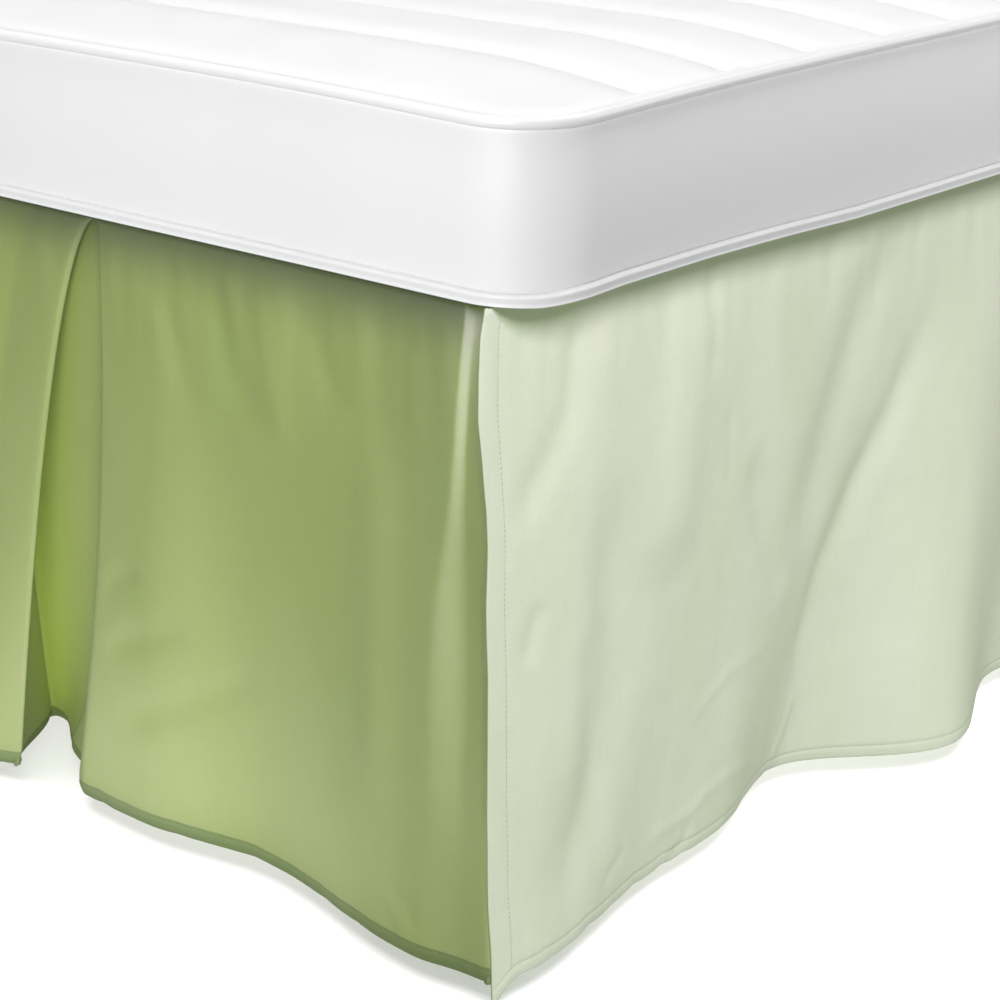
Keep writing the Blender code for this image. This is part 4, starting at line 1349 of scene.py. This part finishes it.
    def welt(self, name: str, radius: float, half_height: float, height: float, flatness: float
             ) -> bpy.types.Object:
        """A piped edge that follows the outline.

        Args:
            name: Name of the piece.
            radius: Half its depth.
            half_height: Half its height.
            height: Height of its middle.
            flatness: 0 for a round piping, and 1 for a flat tape with a full upper half, a hollow
                below its middle and a ridge along its lower rim.

        Returns:
            The piece.
        """
        sides = 24 if flatness == 0.0 else 40
        line = self.outline(radius)
        normals = self.outline_normals(line - [0.0, MIDDLE_Y])
        turns = np.linspace(0.0, 2 * math.pi, sides, endpoint=False)
        across, up = np.cos(turns), np.sin(turns)
        square_face, square_rims = 0.45 * flatness, 0.20 * flatness
        across = np.sign(across) * np.abs(across) ** (1.0 - square_face)
        up = np.sign(up) * np.abs(up) ** (1.0 - square_rims)
        hollow = flatness * np.interp(up, *zip(*TAPE_HOLLOW))
        across = np.where(across > 0.0, across * (1.0 - hollow), across)
        lumps, layer, unevenness = 9.0, height * 50.0, 0.05
        wander = np.array([noise.noise((px * lumps, py * lumps, layer)) for px, py in line])
        swell = 1.0 + unevenness * wander[:, None]
        plan = line[:, None, :] + normals[:, None, :] * (radius * swell * across)[..., None]
        rise = height + half_height * swell * up
        points = np.concatenate([plan, rise[..., None]], axis=-1).reshape(-1, 3)
        points[:, 2] -= self.droop(points)
        index = np.arange(len(points)).reshape(len(line), sides)
        after = np.roll(index, -1, axis=0)
        quads = np.stack([index, after, np.roll(after, -1, axis=1), np.roll(index, -1, axis=1)], axis=-1)
        return smooth_piece(name, points, quads.reshape(-1, 4).tolist())

    def build(self, ticking: bpy.types.Material, piping: bpy.types.Material) -> list[bpy.types.Object]:
        """Args:
            ticking: Finish of the body.
            piping: Finish of the piped edges.

        Returns:
            The pieces.
        """
        body = self.body()
        dress(body, ticking)
        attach(body, BODY)
        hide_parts("mattress")
        made = [body]
        for node, radius, half_height, height, flatness in (
                ("top_welt", self.top_welt_radius, self.top_welt_radius, self.top_welt_height, 0.0),
                ("bottom_welt", self.low_welt_radius, self.low_welt_half_height,
                 self.low_welt_height, 1.0)):
            welt = self.welt(node + "_piping", radius, half_height, height, flatness)
            dress(welt, piping)
            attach(welt, BODY)
            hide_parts(node)
            made.append(welt)
        for piece in made:
            LOG.info("%s: %d faces", piece.name, len(piece.data.polygons))
        return made


@dataclass
class BedBase:
    """The plain slab and its four legs, whose shapes come with the frame."""

    nodes: tuple[str, ...] = ("base_frame", "leg_foot_right", "leg_foot_left", "leg_head_right",
                              "leg_head_left")

    def build(self, wood: bpy.types.Material) -> list[bpy.types.Object]:
        """Give the wooden pieces their finish."""
        pieces = [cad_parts[name] for name in self.nodes]
        for piece in pieces:
            dress(piece, wood)
            LOG.info("%s: finished in wood", piece.name)
        return pieces


@dataclass(frozen=True)
class Softbox:
    """A soft rectangular studio light."""

    name: str
    place: Triple
    aim: Triple
    size: Pair
    power: float
    colour: Triple = (1.0, 1.0, 1.0)

    def build(self, lights_only: Optional[Pieces] = None, shaded_by: Optional[Pieces] = None) -> None:
        """Set up the light.

        Args:
            lights_only: The only pieces that it lights, or None for everything.
            shaded_by: The only pieces that cast its shadows, or None for everything.
        """
        data = bpy.data.lights.new(self.name, "AREA")
        data.shape = "RECTANGLE"
        data.size, data.size_y = self.size
        data.energy = self.power
        data.color = self.colour
        lamp = link_object(self.name, data)
        lamp.location = self.place
        lamp.rotation_euler = (Vector(self.aim) - Vector(self.place)).to_track_quat("-Z", "Y").to_euler()
        for link, pieces in (("receiver", lights_only), ("blocker", shaded_by)):
            if pieces is not None:
                held = bpy.data.collections.new(f"{self.name}_{link}")
                for piece in pieces:
                    held.objects.link(piece)
                setattr(lamp.light_linking, link + "_collection", held)
        lamp.visible_camera = False


@dataclass
class Studio:
    """Pale floor, soft lights and the camera."""

    floor_half: float = 9.0
    ambient: float = 0.12
    camera_place: Triple = (1.141, -1.63275, 0.751)
    camera_tilt: float = 19.6
    camera_turn: float = 41.0
    focal_length: float = 89.424

    def floor(self) -> None:
        """A plain pale floor."""
        half = self.floor_half
        mesh = bpy.data.meshes.new("studio_floor")
        mesh.from_pydata([(-half, -half, 0.0), (half, -half, 0.0), (half, half, 0.0),
                          (-half, half, 0.0)], [], [(0, 1, 2, 3)])
        floor = link_object("studio_floor", mesh)
        material, graph, output = start_material("pale_floor")
        place = graph.node("ShaderNodeTexCoord").outputs["Object"]
        cloudy = graph.stretched_noise(place, (1.5, 1.5, 1.5), 3.0)
        tone = graph.blend(cloudy, (0.90, 0.90, 0.90, 1.0), (0.93, 0.93, 0.93, 1.0))
        seen = graph.node("ShaderNodeLightPath").outputs["Is Camera Ray"]
        bounced = (0.22, 0.22, 0.22, 1.0)
        colour = graph.blend(seen, bounced, tone)
        surface = graph.node("ShaderNodeBsdfPrincipled", Base_Color=colour, Roughness=0.9)
        graph.feed(output.inputs["Surface"], surface.outputs[0])
        dress(floor, material)
        Softbox("floor_wash", (0.0, 0.0, 4.5), (0.0, 0.0, 0.0), (6.0, 6.0), 410.0).build([floor])
        Softbox("floor_lift", (0.0, MIDDLE_Y, 0.34), (0.0, MIDDLE_Y, 0.0), (0.9, 1.6), 6.0
                ).build([floor], [floor])

    @staticmethod
    def flag(name: str, start: Pair, end: Pair, heights: Pair) -> bpy.types.Object:
        """An upright strip that keeps some light off a part of the bed and is never seen itself.

        Args:
            name: Name of the strip.
            start: Plan place of one edge.
            end: Plan place of the other edge.
            heights: Heights of its lower and upper edges.

        Returns:
            The strip.
        """
        low, high = heights
        mesh = bpy.data.meshes.new(name)
        mesh.from_pydata([(*start, low), (*end, low), (*end, high), (*start, high)], [],
                         [(0, 1, 2, 3)])
        flag = link_object(name, mesh)
        for way in ("camera", "diffuse", "glossy", "transmission"):
            setattr(flag, "visible_" + way, False)
        return flag

    def world(self) -> None:
        """Even pale surroundings."""
        world = bpy.data.worlds.new("studio_air")
        world.use_nodes = True
        sky = world.node_tree.nodes["Background"]
        sky.inputs["Color"].default_value = (1.0, 1.0, 1.0, 1.0)
        sky.inputs["Strength"].default_value = self.ambient
        bpy.context.scene.world = world
        bpy.context.scene.view_settings.view_transform = "Standard"

    def camera(self) -> None:
        """The main view, from above the corner between the foot end and the right side."""
        data = bpy.data.cameras.new("main_camera")
        data.lens = self.focal_length
        data.sensor_width = 36.0
        camera = link_object("main_camera", data)
        camera.location = self.camera_place
        camera.rotation_euler = (math.radians(90.0 - self.camera_tilt), 0.0,
                                 math.radians(self.camera_turn))
        bpy.context.scene.camera = camera

    def build(self, skirt: Pieces, mattress: Pieces) -> None:
        """Set up the studio.

        Args:
            skirt: Pieces of the skirt: the deck, then each drop followed by its stitches.
            mattress: Pieces of the mattress.
        """
        self.floor()
        self.world()
        self.camera()
        foot, right, left = skirt[1::2]
        covers = [*skirt, *mattress]
        before_foot = FOOT_FACE_Y - 0.055
        flags = [self.flag("top_flag", (-0.40, before_foot), (0.40, before_foot), (0.417, 0.520)),
                 self.flag("corner_flag", (0.426, -0.839), (0.456, -0.809), (0.0, 0.60))]
        white, everything = (1.0, 1.0, 1.0), None
        # Name, place, aim, size, power, colour, what it lights, what casts its shadows.
        lights = (
            ("overhead", (0.0, 0.2, 3.2), (0.0, 0.2, 0.0), (3.0, 3.0), 40.0,
             white, everything, covers),
            ("right_key", (3.0, -1.75, 2.45), (0.31, -0.45, 0.2), (1.1, 1.1), 294.0,
             (0.835, 0.745, 1.0), [right], covers),
            ("right_fill", (3.0, -0.60, 0.35), (0.31, -0.30, 0.25), (1.6, 0.6), 23.0,
             (0.84, 0.94, 0.72), [right], skirt),
            ("foot_fill", (1.9, -2.6, 1.1), (0.0, -0.7, 0.2), (1.6, 1.2), 73.0,
             (0.90, 1.0, 0.31), [foot], [*covers, *flags]),
            ("floor_glow", (0.02, -0.80, 0.006), (0.02, -0.79, 0.30), (0.36, 0.16), 0.31,
             (0.92, 0.86, 0.85), [foot], covers),
            ("strip_key", (0.70, -0.712, 0.56), (0.30, -0.69, 0.30), (0.16, 0.16), 3.0,
             (0.78, 0.66, 1.0), [foot], [foot, *mattress]),
            ("pleat_glow", (-0.135, -0.58, 0.20), (-0.135, -0.70, 0.20), (0.05, 0.32), 0.40,
             (0.72, 0.50, 1.0), [foot], [foot]),
            ("rim_glow", (0.41, -0.05, 0.413), (0.31, -0.05, 0.411), (1.3, 0.01), 0.084,
             (0.76, 0.61, 1.0), [right], [right]),
            ("left_key", (-3.2, -1.2, 2.2), (-0.31, 0.0, 0.2), (1.2, 1.2), 260.0,
             (0.90, 0.96, 0.80), [left], covers),
            ("mattress_top", (0.0, 0.0, 3.0), (0.0, 0.0, 0.5), (2.5, 2.5), 42.0,
             white, mattress, mattress),
            ("mattress_left", (0.75, -3.5, 1.0), (0.1, -0.7, 0.46), (1.6, 1.2), 76.0,
             white, mattress, mattress),
            ("mattress_right", (2.6, 1.8, 1.0), (0.35, 0.0, 0.46), (2.0, 1.4), 45.0,
             white, mattress, mattress),
            ("mattress_behind", (-2.3, 1.6, 0.38), (-0.30, 0.1, 0.46), (2.2, 0.4), 50.0,
             white, mattress, mattress),
        )
        for *light, lit, shaded_by in lights:
            Softbox(*light).build(lit, shaded_by)


def main() -> None:
    """Build the bed skirt with its mattress and base, and the studio round it."""
    logging.basicConfig(level=logging.INFO, format="%(name)s: %(message)s")
    groups = SharedGroups.build()
    cotton = SkirtCloth().material(groups)
    thread = PlainCloth("sewing_thread", (0.57, 0.62, 0.45, 1.0), 0.6, 2600.0, 0.2).material(groups)
    ticking = PlainCloth("mattress_ticking", (0.86, 0.86, 0.865, 1.0), 0.50, 1500.0, 0.12
                         ).material(groups)
    piping = PlainCloth("welt_tape", (0.88, 0.88, 0.885, 1.0), 0.38, 2000.0, 0.10).material(groups)
    wood = PlanedWood().material(groups)
    skirt = Skirt().build(cotton, thread)
    mattress = Mattress().build(ticking, piping)
    BedBase().build(wood)
    Studio().build(skirt, mattress)


if __name__ == "__main__":
    main()
